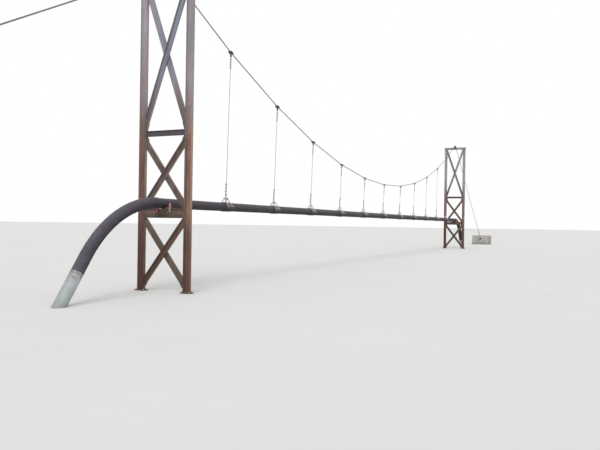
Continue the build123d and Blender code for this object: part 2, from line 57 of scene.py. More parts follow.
# Each row of PANELS is one panel of bracing: the heights at which the braces' lines meet the legs'
# inner faces, and the heights of what lies below and above the panel.
TOWERS = np.array([(side * 2400 * MM, 0, 0) for side in ENDS.values()])
LEG_FACE = 78 * MM
BEAM_TOP = 269 * MM
PANELS = np.array([(25, 228, 14.5, 239), (274, 483, 269, 505), (539, 984, 523, 996)]) * MM

# The hangers lean: each clamp sits nearer to the near tower than the band above it.
BAY = 400 * MM
PIPE_Z = 286 * MM
PIPE_SIDES = 72
HANGER_XS = np.arange(-5, 6) * BAY
CLAMPS = np.array([(x - 21 * MM, 0, PIPE_Z) for x in HANGER_XS])
EYE_RISE = 31.8 * MM
BAND_DROP = 9 * MM

# Points and directions of the cable and the backstays are (x, z), for the far end.
CABLE_LOW_Z = 494 * MM
CABLE_SAG = 548 * MM
SADDLE_CENTRE = np.array([2395.4, 964.19]) * MM
SADDLE_RADIUS = 70.02 * MM
SPAN_SLOPE = math.radians(22.71)
STAY_SLOPE = math.atan(0.567)
STAY_UP = np.array([-math.cos(STAY_SLOPE), math.sin(STAY_SLOPE)])
STAY_OUT = np.array([STAY_UP[1], -STAY_UP[0]])
STAY_FOOT = np.array([4110.8, 72.0]) * MM
STAY_EYE = STAY_FOOT + STAY_UP * 113.2 * MM
STAY_LOOP = {"eye_radius": 6.5 * MM, "neck": 26 * MM}
HANGER_LOOP = {"eye_radius": 3.75 * MM, "neck": 14 * MM}
TAIL_OFFSET = 2.08  # from the rope's axis to its tail's, in rope radii
WIRES = 42

# Colours of a single place, which the panel doesn't list
FADED_PINK = (0.42, 0.29, 0.31)
SCUFF = (0.24, 0.15, 0.12)
SOIL = (0.16, 0.13, 0.09)
IRON = (0.105, 0.11, 0.12)
DEEP_RED, BRIGHT_RED = (0.26, 0.055, 0.042), (0.40, 0.085, 0.062)
FLOOR_GREYS = (0.84, 0.84, 0.83), (0.87, 0.87, 0.86)


def cable_z(x):
    """The height of the cable's axis: its lowest plus the sag times (x / tower_x) squared."""
    return CABLE_LOW_Z + CABLE_SAG * (x / TOWERS[1, 0]) ** 2


def cable_tilt(x):
    """The angle of the cable at x, whose tangent is 2 sag x / tower_x squared."""
    return np.arctan(2 * CABLE_SAG * x / TOWERS[1, 0] ** 2)


class BridgeSizes(PropertyGroup):
    pipe_radius: FloatProperty(
        name="Pipe radius", description="Outer radius of the pipe over the span",
        default=0.0162, unit="LENGTH")
    bend_radius: FloatProperty(
        name="Bend pipe radius", description="Outer radius of the bends and risers",
        default=0.018, unit="LENGTH")
    weld_width: FloatProperty(
        name="Weld width", description="Width of a girth weld", default=0.0016, unit="LENGTH")
    weld_height: FloatProperty(
        name="Weld height", description="How far a girth weld stands proud",
        default=0.0003, unit="LENGTH")
    cable_radius: FloatProperty(
        name="Cable radius", description="Radius of the main cable and backstays",
        default=0.0022, unit="LENGTH")
    hanger_radius: FloatProperty(
        name="Hanger radius", description="Radius of a hanger rope", default=0.0011, unit="LENGTH")
    strands: IntProperty(
        name="Strands", description="Outer strands in a rope", default=6, min=3, max=8)
    lay: FloatProperty(
        name="Lay", description="Length of one turn of the strands, in rope diameters", default=7.5)
    bolt_radius: FloatProperty(
        name="Bolt radius", description="Radius of the bolts in the clamps and packings",
        default=0.0010, unit="LENGTH")
    brace_bolt_radius: FloatProperty(
        name="Brace bolt radius", description="Radius of the bolts at the ends of the braces",
        default=0.0008, unit="LENGTH")
    stud_radius: FloatProperty(
        name="Stud radius", description="Radius of the bolts in the base plates and lug plates",
        default=0.0012, unit="LENGTH")
    thread_pitch: FloatProperty(
        name="Thread pitch", description="Pitch of the turnbuckles' screws",
        default=0.0008, unit="LENGTH")
    steel_edge: FloatProperty(
        name="Steel edge", description="How far the edges of the rolled steel are eased",
        default=0.00012, unit="LENGTH")
    concrete_edge: FloatProperty(
        name="Concrete edge", description="How far the edges of the anchor blocks are eased",
        default=0.003, unit="LENGTH")


class BridgeColours(PropertyGroup):
    pipe: FloatVectorProperty(
        name="Pipe", description="Weathered purple-brown of the pipe",
        subtype="COLOR", size=3, default=(0.060, 0.053, 0.068))
    coating: FloatVectorProperty(
        name="Riser coating", description="Pale grey wrap near the ground",
        subtype="COLOR", size=3, default=(0.38, 0.415, 0.425))
    rust: FloatVectorProperty(
        name="Rust", description="Orange-brown of the front legs",
        subtype="COLOR", size=3, default=(0.33, 0.155, 0.105))
    red_rust: FloatVectorProperty(
        name="Red rust", description="Red-brown of the back legs and the beams",
        subtype="COLOR", size=3, default=(0.26, 0.095, 0.072))
    tan_rust: FloatVectorProperty(
        name="Tan rust", description="Tan-brown of the lower rising braces",
        subtype="COLOR", size=3, default=(0.20, 0.112, 0.070))
    purple: FloatVectorProperty(
        name="Purple", description="Dark purple-brown of the middle struts",
        subtype="COLOR", size=3, default=(0.080, 0.071, 0.090))
    dark_rust: FloatVectorProperty(
        name="Dark rust", description="Darkest brown of the rusty steel",
        subtype="COLOR", size=3, default=(0.075, 0.050, 0.048))
    # This tan is worn paint at the front guide post's foot, and painted light on the steel's faces
    # towards the front and upwards.
    wear_and_light_tan: FloatVectorProperty(
        name="Worn steel", description="Pale tan where the old paint is left",
        subtype="COLOR", size=3, default=(0.38, 0.30, 0.22))
    mauve: FloatVectorProperty(
        name="Mauve", description="Chalky mauve streaks on the steel",
        subtype="COLOR", size=3, default=(0.155, 0.128, 0.138))
    grey_tan: FloatVectorProperty(
        name="Grey-tan", description="Grey-tan of the lower falling braces",
        subtype="COLOR", size=3, default=(0.185, 0.135, 0.112))
    bleached: FloatVectorProperty(
        name="Bleached steel", description="Grey mauve of the upper legs",
        subtype="COLOR", size=3, default=(0.31, 0.285, 0.325))
    slate: FloatVectorProperty(
        name="Slate", description="Blue-grey of the upper braces",
        subtype="COLOR", size=3, default=(0.205, 0.205, 0.255))
    lichen: FloatVectorProperty(
        name="Lichen", description="Olive growth on the steel",
        subtype="COLOR", size=3, default=(0.15, 0.13, 0.075))
    zinc: FloatVectorProperty(
        name="Zinc", description="Galvanised yokes, pins and turnbuckles",
        subtype="COLOR", size=3, default=(0.50, 0.48, 0.465))
    wire: FloatVectorProperty(
        name="Wire", description="Wires of the ropes",
        subtype="COLOR", size=3, default=(0.23, 0.22, 0.215))
    lining: FloatVectorProperty(
        name="Lining", description="Dark red sheet under the clamps",
        subtype="COLOR", size=3, default=(0.062, 0.022, 0.022))
    concrete: FloatVectorProperty(
        name="Concrete", description="Anchor blocks",
        subtype="COLOR", size=3, default=(0.43, 0.41, 0.37))


# Points and outlines

def unit(vectors):
    """Each vector divided by its length."""
    return vectors / np.linalg.norm(vectors, axis=-1, keepdims=True)


def angles(count):
    """Even angles once round: t(i) = 2 pi i / count."""
    return np.arange(count) * 2 * math.pi / count


def spokes(t):
    """(cos t, sin t) for each angle."""
    return np.stack([np.cos(t), np.sin(t)], -1)


def in_space(flat, axis):
    """Flat points set in the plane square to an axis, by a 0 for that coordinate."""
    return np.insert(np.asarray(flat, float), axis, 0.0, axis=-1)


def at_ends(flat):
    """A point (x, z) or direction of the far end in space, at the near end and at the far one."""
    return in_space([flat * (side, 1) for side in ENDS.values()], 1)


def spots(xs, ys, z=0.0):
    """A place for each x with each y, all at one height, given in millimetres."""
    return np.array([(x, y, z) for x in xs for y in ys]) * MM


def at_towers(places):
    """The places once about each tower's foot."""
    return (TOWERS[:, None] + places).reshape(-1, 3)


def circle(radius, count):
    """point(t) = radius (cos t, sin t), once round."""
    return radius * spokes(angles(count))


def arc(centre, radius, start, end, count):
    """point(t) = centre + radius (cos t, sin t), from start to end, both in degrees."""
    return np.asarray(centre) + radius * spokes(np.radians(np.linspace(start, end, count)))


def bent(a, corner, b, steps):
    """(1 - t)^2 a + 2 t (1 - t) corner + t^2 b, at even steps of t from 0 to 1."""
    t = np.linspace(0, 1, steps)[:, None]
    a, corner, b = (np.asarray(point, float)[..., None, :] for point in (a, corner, b))
    return (1 - t) ** 2 * a + 2 * t * (1 - t) * corner + t ** 2 * b


def eased(corners, radius, steps=6):
    """A run through corners, each bent between the two points of the run radius away from it."""
    corners = np.asarray(corners, float)
    before, at, after = corners[:-2], corners[1:-1], corners[2:]
    a, b = (at + unit(beside - at) * radius for beside in (before, after))
    turns = bent(a, at, b, steps)
    return np.vstack([corners[:1], turns.reshape(-1, corners.shape[1]), corners[-1:]])


def eased_loop(corners, radius, steps=4):
    """A closed outline with each corner rounded as eased does."""
    corners = np.asarray(corners, float)
    return eased(np.vstack([corners[-1:], corners, corners[:1]]), radius, steps)[1:-1]


def oblong(width, height, radius, steps=2):
    """A rectangle about the origin with rounded corners."""
    w, h = width / 2, height / 2
    return eased_loop([(w, -h), (w, h), (-w, h), (-w, -h)], radius, steps)


def cubic(a, a_way, b, b_way, pull, count=14):
    """A curve from a to b that leaves along a_way and arrives along b_way, by Hermite's cubic."""
    t = np.linspace(0, 1, count)[:, None]
    a, a_way, b, b_way = (np.array(value) for value in (a, a_way, b, b_way))
    return ((2 * t ** 3 - 3 * t ** 2 + 1) * a + (t ** 3 - 2 * t ** 2 + t) * pull * a_way
            + (3 * t ** 2 - 2 * t ** 3) * b + (t ** 3 - t ** 2) * pull * b_way)


def spaced(path, step):
    """The path with its points an even step apart, and each point's distance along it."""
    gaps = np.linalg.norm(np.diff(path, axis=0), axis=1)
    reach = np.append(0.0, np.cumsum(gaps))
    distance = np.linspace(0.0, reach[-1], max(2, round(reach[-1] / step) + 1))
    return np.stack([np.interp(distance, reach, axis) for axis in path.T], 1), distance


def shackle_outline(radius, height, count=48):
    """A plate's reach from its hole at each angle t: the radius where sin t is under 0, and
    elsewhere out to straight sides and a flat edge, radius / |cos t| and height / sin t away."""
    t, tiny = angles(count), 1e-6
    sides = radius / np.maximum(np.abs(np.cos(t)), tiny)
    flat = height / np.maximum(np.sin(t), tiny)
    return np.where(np.sin(t) > tiny, np.minimum(sides, flat), radius)


def strand_outline(radius, strands, points):
    """The outline of a rope: in each strand's sector, R cos t + sqrt(r^2 - (R sin t)^2), where r
    is a third of the rope's radius, R two thirds, and t the angle from the strand's middle."""
    angle, sector = angles(strands * points), 2 * math.pi / strands
    t = (angle + sector / 2) % sector - sector / 2
    big, small = radius * 2 / 3, radius / 3
    reach = big * np.cos(t) + np.sqrt(np.maximum(small ** 2 - (big * np.sin(t)) ** 2, 0.0))
    return reach[:, None] * spokes(angle)


# Shells: each is its points, its four-sided faces, its end faces and its faces' UVs

def grid(points, ring=False, capped=True, run=None):
    """A shell over the grid point(i, j): i runs along it and j closes around it.

    Face (i, j) joins points (i, j), (i, j + 1), (i + 1, j + 1) and (i + 1, j). With ring, i closes
    too. run gives each row's distance, which the shell's UV map pairs with j / columns.
    """
    rows, columns = points.shape[:2]
    i, j = np.meshgrid(np.arange(rows if ring else rows - 1), np.arange(columns), indexing="ij")
    i_next, j_next = (i + 1) % rows, (j + 1) % columns
    corners = ((i, j), (i, j_next), (i_next, j_next), (i_next, j))
    quads = np.stack([a * columns + b for a, b in corners], -1).reshape(-1, 4)
    run = np.arange(rows + 1.0) if run is None else np.append(run, run[-1])
    here, there, left, right = run[i], run[i + 1], j / columns, (j + 1) / columns
    flat = [(here, left), (here, right), (there, right), (there, left)]
    uv = np.stack([np.stack(corner, -1) for corner in flat], 2).reshape(-1, 4, 2)
    ends = []
    if capped and not ring:
        ends = [np.arange(columns)[::-1], (rows - 1) * columns + np.arange(columns)]
    return points.reshape(-1, 3), quads, ends, uv


def carried(path, profile, side, turn=0.0, grow=1.0, run=None):
    """A profile carried along a path.

    point(i, j) = path(i) + grow(i) (a side(i) + b up(i)), where (a, b) is the profile's point j
    turned by turn(i), and up is the path's tangent crossed with side. side is square to the path.
    """
    path = np.asarray(path, float)
    side = np.broadcast_to(side, path.shape)
    up = unit(np.cross(unit(np.gradient(path, axis=0)), side))
    turn, grow = (np.broadcast_to(value, len(path))[:, None] for value in (turn, grow))
    a = grow * (profile[:, 0] * np.cos(turn) - profile[:, 1] * np.sin(turn))
    b = grow * (profile[:, 0] * np.sin(turn) + profile[:, 1] * np.cos(turn))
    points = path[:, None] + a[..., None] * side[:, None] + b[..., None] * up[:, None]
    return grid(points, run=run)


def about_x(x, radius):
    """point(i, j) = (x(i), radius(i, j) cos t(j), radius(i, j) sin t(j)), with t once round."""
    t = angles(radius.shape[1])
    x = np.broadcast_to(np.asarray(x)[:, None], radius.shape)
    return np.stack([x, radius * np.cos(t), radius * np.sin(t)], -1)


def lathed(outline, around=24, ring=False):
    """An outline of points (x, r) turned about the X axis."""
    x, r = np.asarray(outline, float).T
    return grid(about_x(x, np.repeat(r[:, None], around, 1)), ring)


def slab(length, width, height, edge=0.2 * MM):
    """A block about the origin with chamfered edges: a rounded rectangle carried along X, drawn
    in by the chamfer at both ends."""
    half = length / 2
    path = np.outer([-half, edge - half, half - edge, half], X_AXIS)
    points = carried(path, oblong(width, height, edge), Y_AXIS)[0].reshape(4, -1, 3)
    points[[0, -1], :, 1:] *= 1 - 2 * edge / np.array([width, height])
    return grid(points)


def prism(outline, thickness, edge=0.15 * MM):
    """A plate about the YZ plane with chamfered edges: point(i, j) = (x(i), outline(j) + inset(i)
    inward(j)).

    The outline turns from +Y towards +Z, and inward is the unit vector half-way between its two
    neighbouring sides' inward normals.
    """
    outline = np.asarray(outline, float)
    way = unit(np.roll(outline, -1, 0) - outline)
    normal = np.stack([-way[:, 1], way[:, 0]], 1)
    inward = unit(normal + np.roll(normal, 1, 0))
    half = thickness / 2
    xs = np.array([-half, edge - half, half - edge, half])[:, None, None]
    flat = outline + np.array([edge, 0, 0, edge])[:, None, None] * inward
    return grid(np.concatenate([np.broadcast_to(xs, flat.shape[:2] + (1,)), flat], 2))


def eye_plate(reach, hole, thickness, edge=0.1 * MM):
    """A plate with a hole, square to Y: point(t, j) = (r cos t, y(j), -r sin t), where r is the
    hole's radius or reach(t), stepped in or out by the chamfer.

    t starts at +X and turns towards -Z; reach is an array of distances at even steps of t.
    """
    t = -angles(len(reach))[:, None]
    reach = reach[-np.arange(len(reach))][:, None]
    half = thickness / 2
    # Each corner of the section: 0 at the hole or 1 at the rim, the step outwards, and y
    rim, step, depth = np.array([
        (0, 0, edge - half), (0, edge, -half), (1, -edge, -half), (1, 0, edge - half),
        (1, 0, half - edge), (1, -edge, half), (0, edge, half), (0, 0, half - edge)]).T
    radius = np.where(rim, reach, hole) + step
    depth = np.broadcast_to(depth, radius.shape)
    return grid(np.stack([radius * np.cos(t), depth, -radius * np.sin(t)], -1), ring=True)


def turned(along, side):
    """Turns for copies: X goes to along, Y to side, and Z to along crossed with side."""
    along, side = np.broadcast_arrays(np.atleast_2d(along), np.atleast_2d(side))
    return np.stack([along, side, np.cross(along, side)], -1)


UPWARD, DOWNWARD = turned(Z_AXIS, Y_AXIS), turned(-Z_AXIS, Y_AXIS)


def copies(shell, places, turns=None):
    """The shell once at each place: copy k is turns(k) times the point, plus places(k)."""
    points, quads, ends, uv = shell
    places = np.atleast_2d(places)
    turns = np.broadcast_to(np.eye(3) if turns is None else turns, (len(places), 3, 3))
    many = np.einsum("kab,nb->kna", turns, points) + places[:, None]
    first = len(points) * np.arange(len(places))
    return (many.reshape(-1, 3), (quads + first[:, None, None]).reshape(-1, 4),
            [end + k for k in first for end in ends], np.tile(uv, (len(places), 1, 1)))


def joined(shells):
    """Several shells as one."""
    first = np.cumsum([0] + [len(shell[0]) for shell in shells[:-1]])
    return (np.vstack([shell[0] for shell in shells]),
            np.vstack([shell[1] + k for shell, k in zip(shells, first)]),
            [end + k for shell, k in zip(shells, first) for end in shell[2]],
            np.vstack([shell[3] for shell in shells]))


def flipped(shell):
    """The shell mirrored in Z, with its faces turned to point outwards again."""
    points, quads, ends, uv = shell
    return points * (1, 1, -1), quads[:, ::-1], [end[::-1] for end in ends], uv[:, ::-1]


def piece(name, slot, replaces=(), sharp=38.0, **groups):
    """One object on the bridge. Each group is named for a finish and holds its shells."""
    shells = [joined(list(members)) for members in groups.values()]
    points, quads, ends, uv = joined(shells)
    corners = np.concatenate([quads.ravel()] + ends).astype(np.int32)
    sizes = np.array([4] * len(quads) + [len(end) for end in ends], np.int32)
    starts = np.append(0, np.cumsum(sizes)[:-1]).astype(np.int32)
    mesh = bpy.data.meshes.new(name)
    mesh.vertices.add(len(points))
    mesh.vertices.foreach_set("co", points.astype(np.float32).ravel())
    mesh.loops.add(len(corners))
    mesh.loops.foreach_set("vertex_index", corners)
    mesh.polygons.add(len(sizes))
    mesh.polygons.foreach_set("loop_start", starts)
    flat = np.zeros((len(corners), 2), np.float32)
    flat[:len(quads) * 4] = uv.reshape(-1, 2)
    mesh.uv_layers.new(name="UVMap").data.foreach_set("uv", flat.ravel())
    of_quads, of_ends = (np.repeat(np.arange(len(groups)), [len(shell[part]) for shell in shells])
                         for part in (1, 2))
    mesh.polygons.foreach_set("material_index", np.append(of_quads, of_ends).astype(np.int32))
    mesh.update(calc_edges=True)
    mesh.validate()
    mesh.shade_smooth()
    mesh.set_sharp_from_angle(angle=math.radians(sharp))
    for finish in groups:
        mesh.materials.append(FINISHES[finish])
    thing = bpy.data.objects.new(name, mesh)
    bpy.context.scene.collection.objects.link(thing)
    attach(thing, "root")
    if replaces:
        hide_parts(*replaces)


def dress(finish, edge, *nodes):
    """A CAD node keeps its shape and takes a finish, and a bevel eases its sharp edges."""
    for node in nodes:
        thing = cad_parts[node]
        thing.data.materials.clear()
        thing.data.materials.append(FINISHES[finish])
        bevel = thing.modifiers.new("edges", "BEVEL")
        bevel.width = edge
        bevel.segments = 2
        bevel.limit_method = "ANGLE"
        bevel.angle_limit = math.radians(50)


# Finishes

class Finish:
    """A procedural finish: a Principled surface with its patterns on Object coordinates.

    paint gives it a colour, and each cover lays another colour over those so far.
    """

    def __init__(self, name, roughness=0.7, metallic=0.0):
        self.material = bpy.data.materials.new(name)
        self.material.use_nodes = True
        self.nodes = self.material.node_tree.nodes
        self.links = self.material.node_tree.links
        self.surface = self.nodes["Principled BSDF"]
        self.surface.inputs["Roughness"].default_value = roughness
        self.surface.inputs["Metallic"].default_value = metallic
        place = self.nodes.new("ShaderNodeTexCoord")
        self.place, self.uv = place.outputs["Object"], place.outputs["UV"]
        self.where = self.parts(self.place)
        self.facing = self.parts(self.nodes.new("ShaderNodeNewGeometry").outputs["Normal"])

    def parts(self, vector):
        """A vector's X, Y and Z."""
        node = self.nodes.new("ShaderNodeSeparateXYZ")
        self.links.new(vector, node.inputs[0])
        return node.outputs

    def put(self, socket, value):
        """A value into a socket: a link from another socket, a colour or a number."""
        if isinstance(value, bpy.types.NodeSocket):
            self.links.new(value, socket)
        elif socket.type == "RGBA":
            socket.default_value = (*value, 1.0)
        else:
            socket.default_value = value

    def maths(self, operation, a, b=0.0):
        """One of Blender's maths operations on two values."""
        node = self.nodes.new("ShaderNodeMath")
        node.operation = operation
        self.put(node.inputs[0], a)
        self.put(node.inputs[1], b)
        return node.outputs[0]

    def times(self, a, b):
        """One value times another."""
        return self.maths("MULTIPLY", a, b)

    def between(self, value, low, high, to_low=0.0, to_high=1.0):
        """A value spread smoothly from low..high to to_low..to_high."""
        node = self.nodes.new("ShaderNodeMapRange")
        node.interpolation_type = "SMOOTHSTEP"
        for socket, number in zip(node.inputs[:5], (value, low, high, to_low, to_high)):
            self.put(socket, number)
        return node.outputs[0]

    def grain(self, size, low=0.35, high=0.65, stretch=(1, 1, 1), detail=5.0, at=(0, 0, 0)):
        """Noise with features about size across, longer along an axis by its stretch."""
        node = self.nodes.new("ShaderNodeTexNoise")
        node.inputs["Scale"].default_value = 1 / size
        node.inputs["Detail"].default_value = detail
        node.inputs["Roughness"].default_value = 0.6
        mapping = self.nodes.new("ShaderNodeMapping")
        mapping.inputs["Location"].default_value = at
        mapping.inputs["Scale"].default_value = [1 / s for s in stretch]
        self.links.new(self.place, mapping.inputs["Vector"])
        self.links.new(mapping.outputs[0], node.inputs["Vector"])
        return self.between(node.outputs["Fac"], low, high)

    def mixed(self, amount, under, over):
        """From one colour to another as amount goes from 0 to 1."""
        node = self.nodes.new("ShaderNodeMix")
        node.data_type = "RGBA"
        self.put(node.inputs[0], amount)
        self.put(node.inputs[6], under)
        self.put(node.inputs[7], over)
        return node.outputs[2]

    def shades(self, amount, colour, low, high):
        """From one brightness of a colour to another as amount goes from 0 to 1."""
        return self.mixed(amount, shade(colour, low), shade(colour, high))

    def paint(self, colour):
        """The surface's colour."""
        self.base = colour
        self.put(self.surface.inputs["Base Color"], colour)

    def cover(self, pattern, over, share=None):
        """Another colour over those so far where the pattern is high, as far as a share lets it."""
        amount = pattern if share is None else self.times(pattern, share)
        self.paint(self.mixed(amount, self.base, over))

    def rough(self, pattern, low, high):
        """Roughness from low to high with a pattern."""
        self.put(self.surface.inputs["Roughness"], self.between(pattern, 0, 1, low, high))

    def bump(self, height, depth):
        """Height of 0..1 as relief of that depth in metres, on top of any so far."""
        node = self.nodes.new("ShaderNodeBump")
        node.inputs["Distance"].default_value = depth
        self.put(node.inputs["Height"], height)
        normal = self.surface.inputs["Normal"]
        if normal.is_linked:
            self.links.new(normal.links[0].from_socket, node.inputs["Normal"])
        self.links.new(node.outputs[0], normal)


def shade(colour, factor):
    """The colour made lighter or darker."""
    return tuple(min(1.0, channel * factor) for channel in colour)


def rusty_steel(name, colours, rust, red=0.5, chalk=0.3, moss=0.5, across=None, below=None,
                upper=None, fade=(0.50, 0.76)):
    """Rust in clouds and streaks down the steel, chalkier with height, with painted light as pale
    tan patches on the faces towards the front and on the upward faces, painted shade low down, and
    lichen low down.

    across is the Y where the red ends and the Y where it is full; beyond the end, the dark brown
    is painted shade, the shadow of a flange on the web. below is (from, to, share, colour): a
    colour that takes over as the height falls through from..to. upper is the colour near the top,
    which takes over as the height rises through fade.
    """
    finish = Finish(name, 0.84)
    height = finish.where[2]
    # Painted shade: where across leaves the red out, the web is painted dark brown as a flange's
    # shadow on it.
    if across:
        red = finish.between(finish.where[1], *across, 0.0, red)
    clouds = finish.grain(0.030, 0.34, 0.66, (1, 1, 2.4))
    finish.paint(finish.mixed(red, finish.shades(clouds, colours.dark_rust, 1.0, 1.7),
                              finish.shades(clouds, rust, 0.66, 1.22)))
    streaks = finish.grain(0.0045, 0.42, 0.7, (1, 1, 16.0), at=(3, 1, 0))
    finish.cover(streaks, colours.dark_rust, 0.5)
    chalky = finish.grain(0.012, 0.38, 0.7, (1, 1, 5.0), at=(2, 2, 6))
    finish.cover(chalky, shade(colours.mauve, 1.25), chalk)
    if below:
        start, stop, share, colour = below
        finish.cover(finish.between(height, start, stop, 0.0, share),
                     finish.shades(clouds, colour, 0.75, 1.25))
    # Painted light: the faces towards the front are painted pale tan in patches. There is less of
    # it near the ground, where painted shade falls.
    front = finish.between(finish.facing[1], -0.85, -0.5, 0.9, 0.0)
    front_light = finish.times(front, finish.grain(0.016, 0.2, 0.5, (1, 1, 4.0), at=(0, 7, 3)))
    finish.cover(front_light, shade(colours.wear_and_light_tan, 1.05),
                 finish.between(height, 0.1, 0.45, 0.55, 1.0))
    growth = finish.grain(0.013, 0.45, 0.66, (1, 1, 2.5), at=(9, 2, 4))
    finish.cover(finish.between(height, 0.60, 0.10, 0.0, moss), colours.lichen, growth)
    # Painted shade: the steel is painted darker towards the ground.
    finish.cover(finish.between(height, 0.30, 0.13, 0.0, 0.45), shade(colours.rust, 0.12))
    # Painted highlight: faces turned upwards are painted pale tan, standing in for sky light on
    # them.
    finish.cover(finish.between(finish.facing[2], 0.5, 0.9, 0.0, 0.55), colours.wear_and_light_tan)
    pale = finish.shades(finish.grain(0.06, 0.32, 0.62, (1, 1, 3.0), at=(1, 8, 5)),
                         upper or colours.bleached, 0.92, 1.25)
    pink = finish.times(finish.grain(0.035, 0.5, 0.72, (1, 1, 3.0), at=(5, 5, 1)), 0.55)
    finish.cover(finish.between(height, *fade, 0.0, 0.9), finish.mixed(pink, pale, FADED_PINK))
    specks = finish.grain(0.0022, 0.52, 0.72, at=(1, 5, 2))
    finish.cover(specks, shade(colours.dark_rust, 0.8), 0.4)
    finish.rough(clouds, 0.74, 0.92)
    finish.bump(clouds, 0.4 * MM)
    finish.bump(finish.grain(0.0016, 0.3, 0.7, at=(4, 4, 4)), 0.12 * MM)
    return finish.material


def pipe_finish(name, colours, dust=0.0, flanges=False):
    """Purple-brown weathering in long clouds, redder patches, a painted highlight on the upper side
    and painted shade on the underside.

    With flanges, what stands out past the pipe on either side is zinc, with painted light on the
    upper flange and painted shade on the lower one.
    """
    finish = Finish(name, 0.74)
    clouds = finish.grain(0.03, 0.3, 0.7, (3.0, 1, 1))
    finish.paint(finish.shades(clouds, colours.pipe, 0.8 + dust, 1.25 + dust))
    patches = finish.grain(0.012, 0.55, 0.75, (2.0, 1, 1), at=(7, 3, 1))
    finish.cover(patches, shade(colours.rust, 0.42), 0.45)
    up = finish.facing[2]
    # Painted highlight on the upper side of the pipe.
    finish.cover(finish.between(up, 0.25, 1.0, 0.0, 0.6), shade(colours.pipe, 2.4))
    # Painted shade on the underside of the pipe.
    finish.cover(finish.between(up, 0.32, -0.60, 0.0, 0.88), shade(colours.pipe, 0.10))
    if flanges:
        aside = finish.between(finish.maths("ABSOLUTE", finish.where[1]), 18.2 * MM, 19.0 * MM)
        # Painted light and shade: the upper flange's zinc is painted lighter and the lower one's
        # darker.
        upper = finish.between(finish.where[2], PIPE_Z - MM, PIPE_Z + MM)
        finish.cover(aside, finish.shades(upper, colours.zinc, 0.75, 1.3))
    fine = finish.grain(0.004, 0.35, 0.7, (2.0, 1, 1), at=(2, 0, 5))
    finish.cover(fine, shade(colours.pipe, 0.6), 0.3)
    finish.rough(fine, 0.64, 0.86)
    finish.bump(clouds, 0.25 * MM)
    finish.bump(finish.grain(0.0012, 0.3, 0.7, at=(6, 1, 3)), 0.08 * MM)
    return finish.material


def coating_finish(colours):
    """Pale grey wrap, scuffed to pink near its upper edge and darker where soil splashes it."""
    finish = Finish("riser_coating", 0.62)
    height = finish.where[2]
    clouds = finish.grain(0.02, 0.3, 0.7, (1, 1, 2.0))
    finish.paint(finish.shades(clouds, colours.coating, 0.8, 1.18))
    scuffs = finish.grain(0.006, 0.42, 0.6, at=(5, 2, 2))
    finish.cover(finish.between(height, 0.058, 0.088), SCUFF, scuffs)
    finish.cover(finish.between(height, 0.03, 0.0, 0.0, 0.5), SOIL, clouds)
    finish.bump(finish.grain(0.003, 0.3, 0.7), 0.15 * MM)
    return finish.material


def zinc_finish(name, colours, brightness=1.0):
    """Galvanised steel gone dull: faint spangles, grey runs and a little rust in patches."""
    finish = Finish(name, 0.56, 0.15)
    clouds = finish.grain(0.008, 0.3, 0.7)
    finish.paint(finish.shades(clouds, colours.zinc, 0.72 * brightness, 1.12 * brightness))
    spangle = finish.grain(0.0015, 0.4, 0.6, detail=1.0)
    finish.cover(spangle, shade(colours.zinc, 1.35 * brightness), 0.25)
    stain = finish.grain(0.005, 0.6, 0.74, at=(3, 3, 0))
    finish.cover(stain, shade(colours.rust, 0.9), 0.6 / brightness)
    finish.rough(clouds, 0.42, 0.62)
    finish.bump(spangle, 0.03 * MM)
    return finish.material


def rope_finish(name, colours, brightness):
    """Grey wires that run at an angle over each strand, darker between them and rusty in places.

    A wire is high where sin(2 pi wires v + slant u) is, with u the distance along the rope and v
    the share of the way round it.
    """
    finish = Finish(name, 0.55, 0.4)
    slant = 1100.0
    u, v, _ = finish.parts(finish.uv)
    wave = finish.maths("ADD", finish.times(v, WIRES * 2 * math.pi), finish.times(u, slant))
    ridge = finish.between(finish.maths("SINE", wave), -1, 1)
    finish.paint(finish.shades(ridge, colours.wire, 0.62 * brightness, 1.15 * brightness))
    rust = finish.grain(0.03, 0.5, 0.75, at=(2, 2, 2))
    finish.cover(rust, shade(colours.rust, 0.7), 0.55)
    finish.bump(ridge, 0.06 * MM)
    return finish.material


def dark_iron_finish(colours):
    """Dark iron with rust-brown clouds and rubbed patches."""
    finish = Finish("dark_iron", 0.6, 0.3)
    clouds = finish.grain(0.009, 0.35, 0.68)
    finish.paint(finish.mixed(clouds, IRON, shade(colours.dark_rust, 1.6)))
    finish.cover(finish.grain(0.003, 0.5, 0.7), shade(colours.wire, 0.8), 0.4)
    finish.bump(clouds, 0.12 * MM)
    return finish.material


def orange_rust_finish(colours):
    """Bright orange rust, redder on the back post, and worn to olive at the front one's foot."""
    finish = Finish("orange_rust", 0.86)
    clouds = finish.grain(0.006, 0.35, 0.65, (1, 1, 2.0))
    finish.paint(finish.shades(clouds, colours.rust, 1.15, 1.8))
    foot = finish.between(finish.where[2], 0.279, 0.268)
    finish.cover(foot, shade(colours.wear_and_light_tan, 0.85))
    back = finish.between(finish.where[1], -0.005, 0.005, 0.0, 0.85)
    finish.cover(back, finish.mixed(clouds, DEEP_RED, BRIGHT_RED))
    finish.cover(finish.grain(0.0015, 0.5, 0.75), colours.dark_rust, 0.6)
    finish.bump(clouds, 0.2 * MM)
    return finish.material


def lining_finish(colours):
    """Dark red rubber sheet, dusty in places."""
    finish = Finish("lining_red", 0.7)
    dust = finish.grain(0.005, 0.4, 0.7)
    finish.paint(finish.shades(dust, colours.lining, 1.0, 1.8))
    finish.bump(dust, 0.05 * MM)
    return finish.material


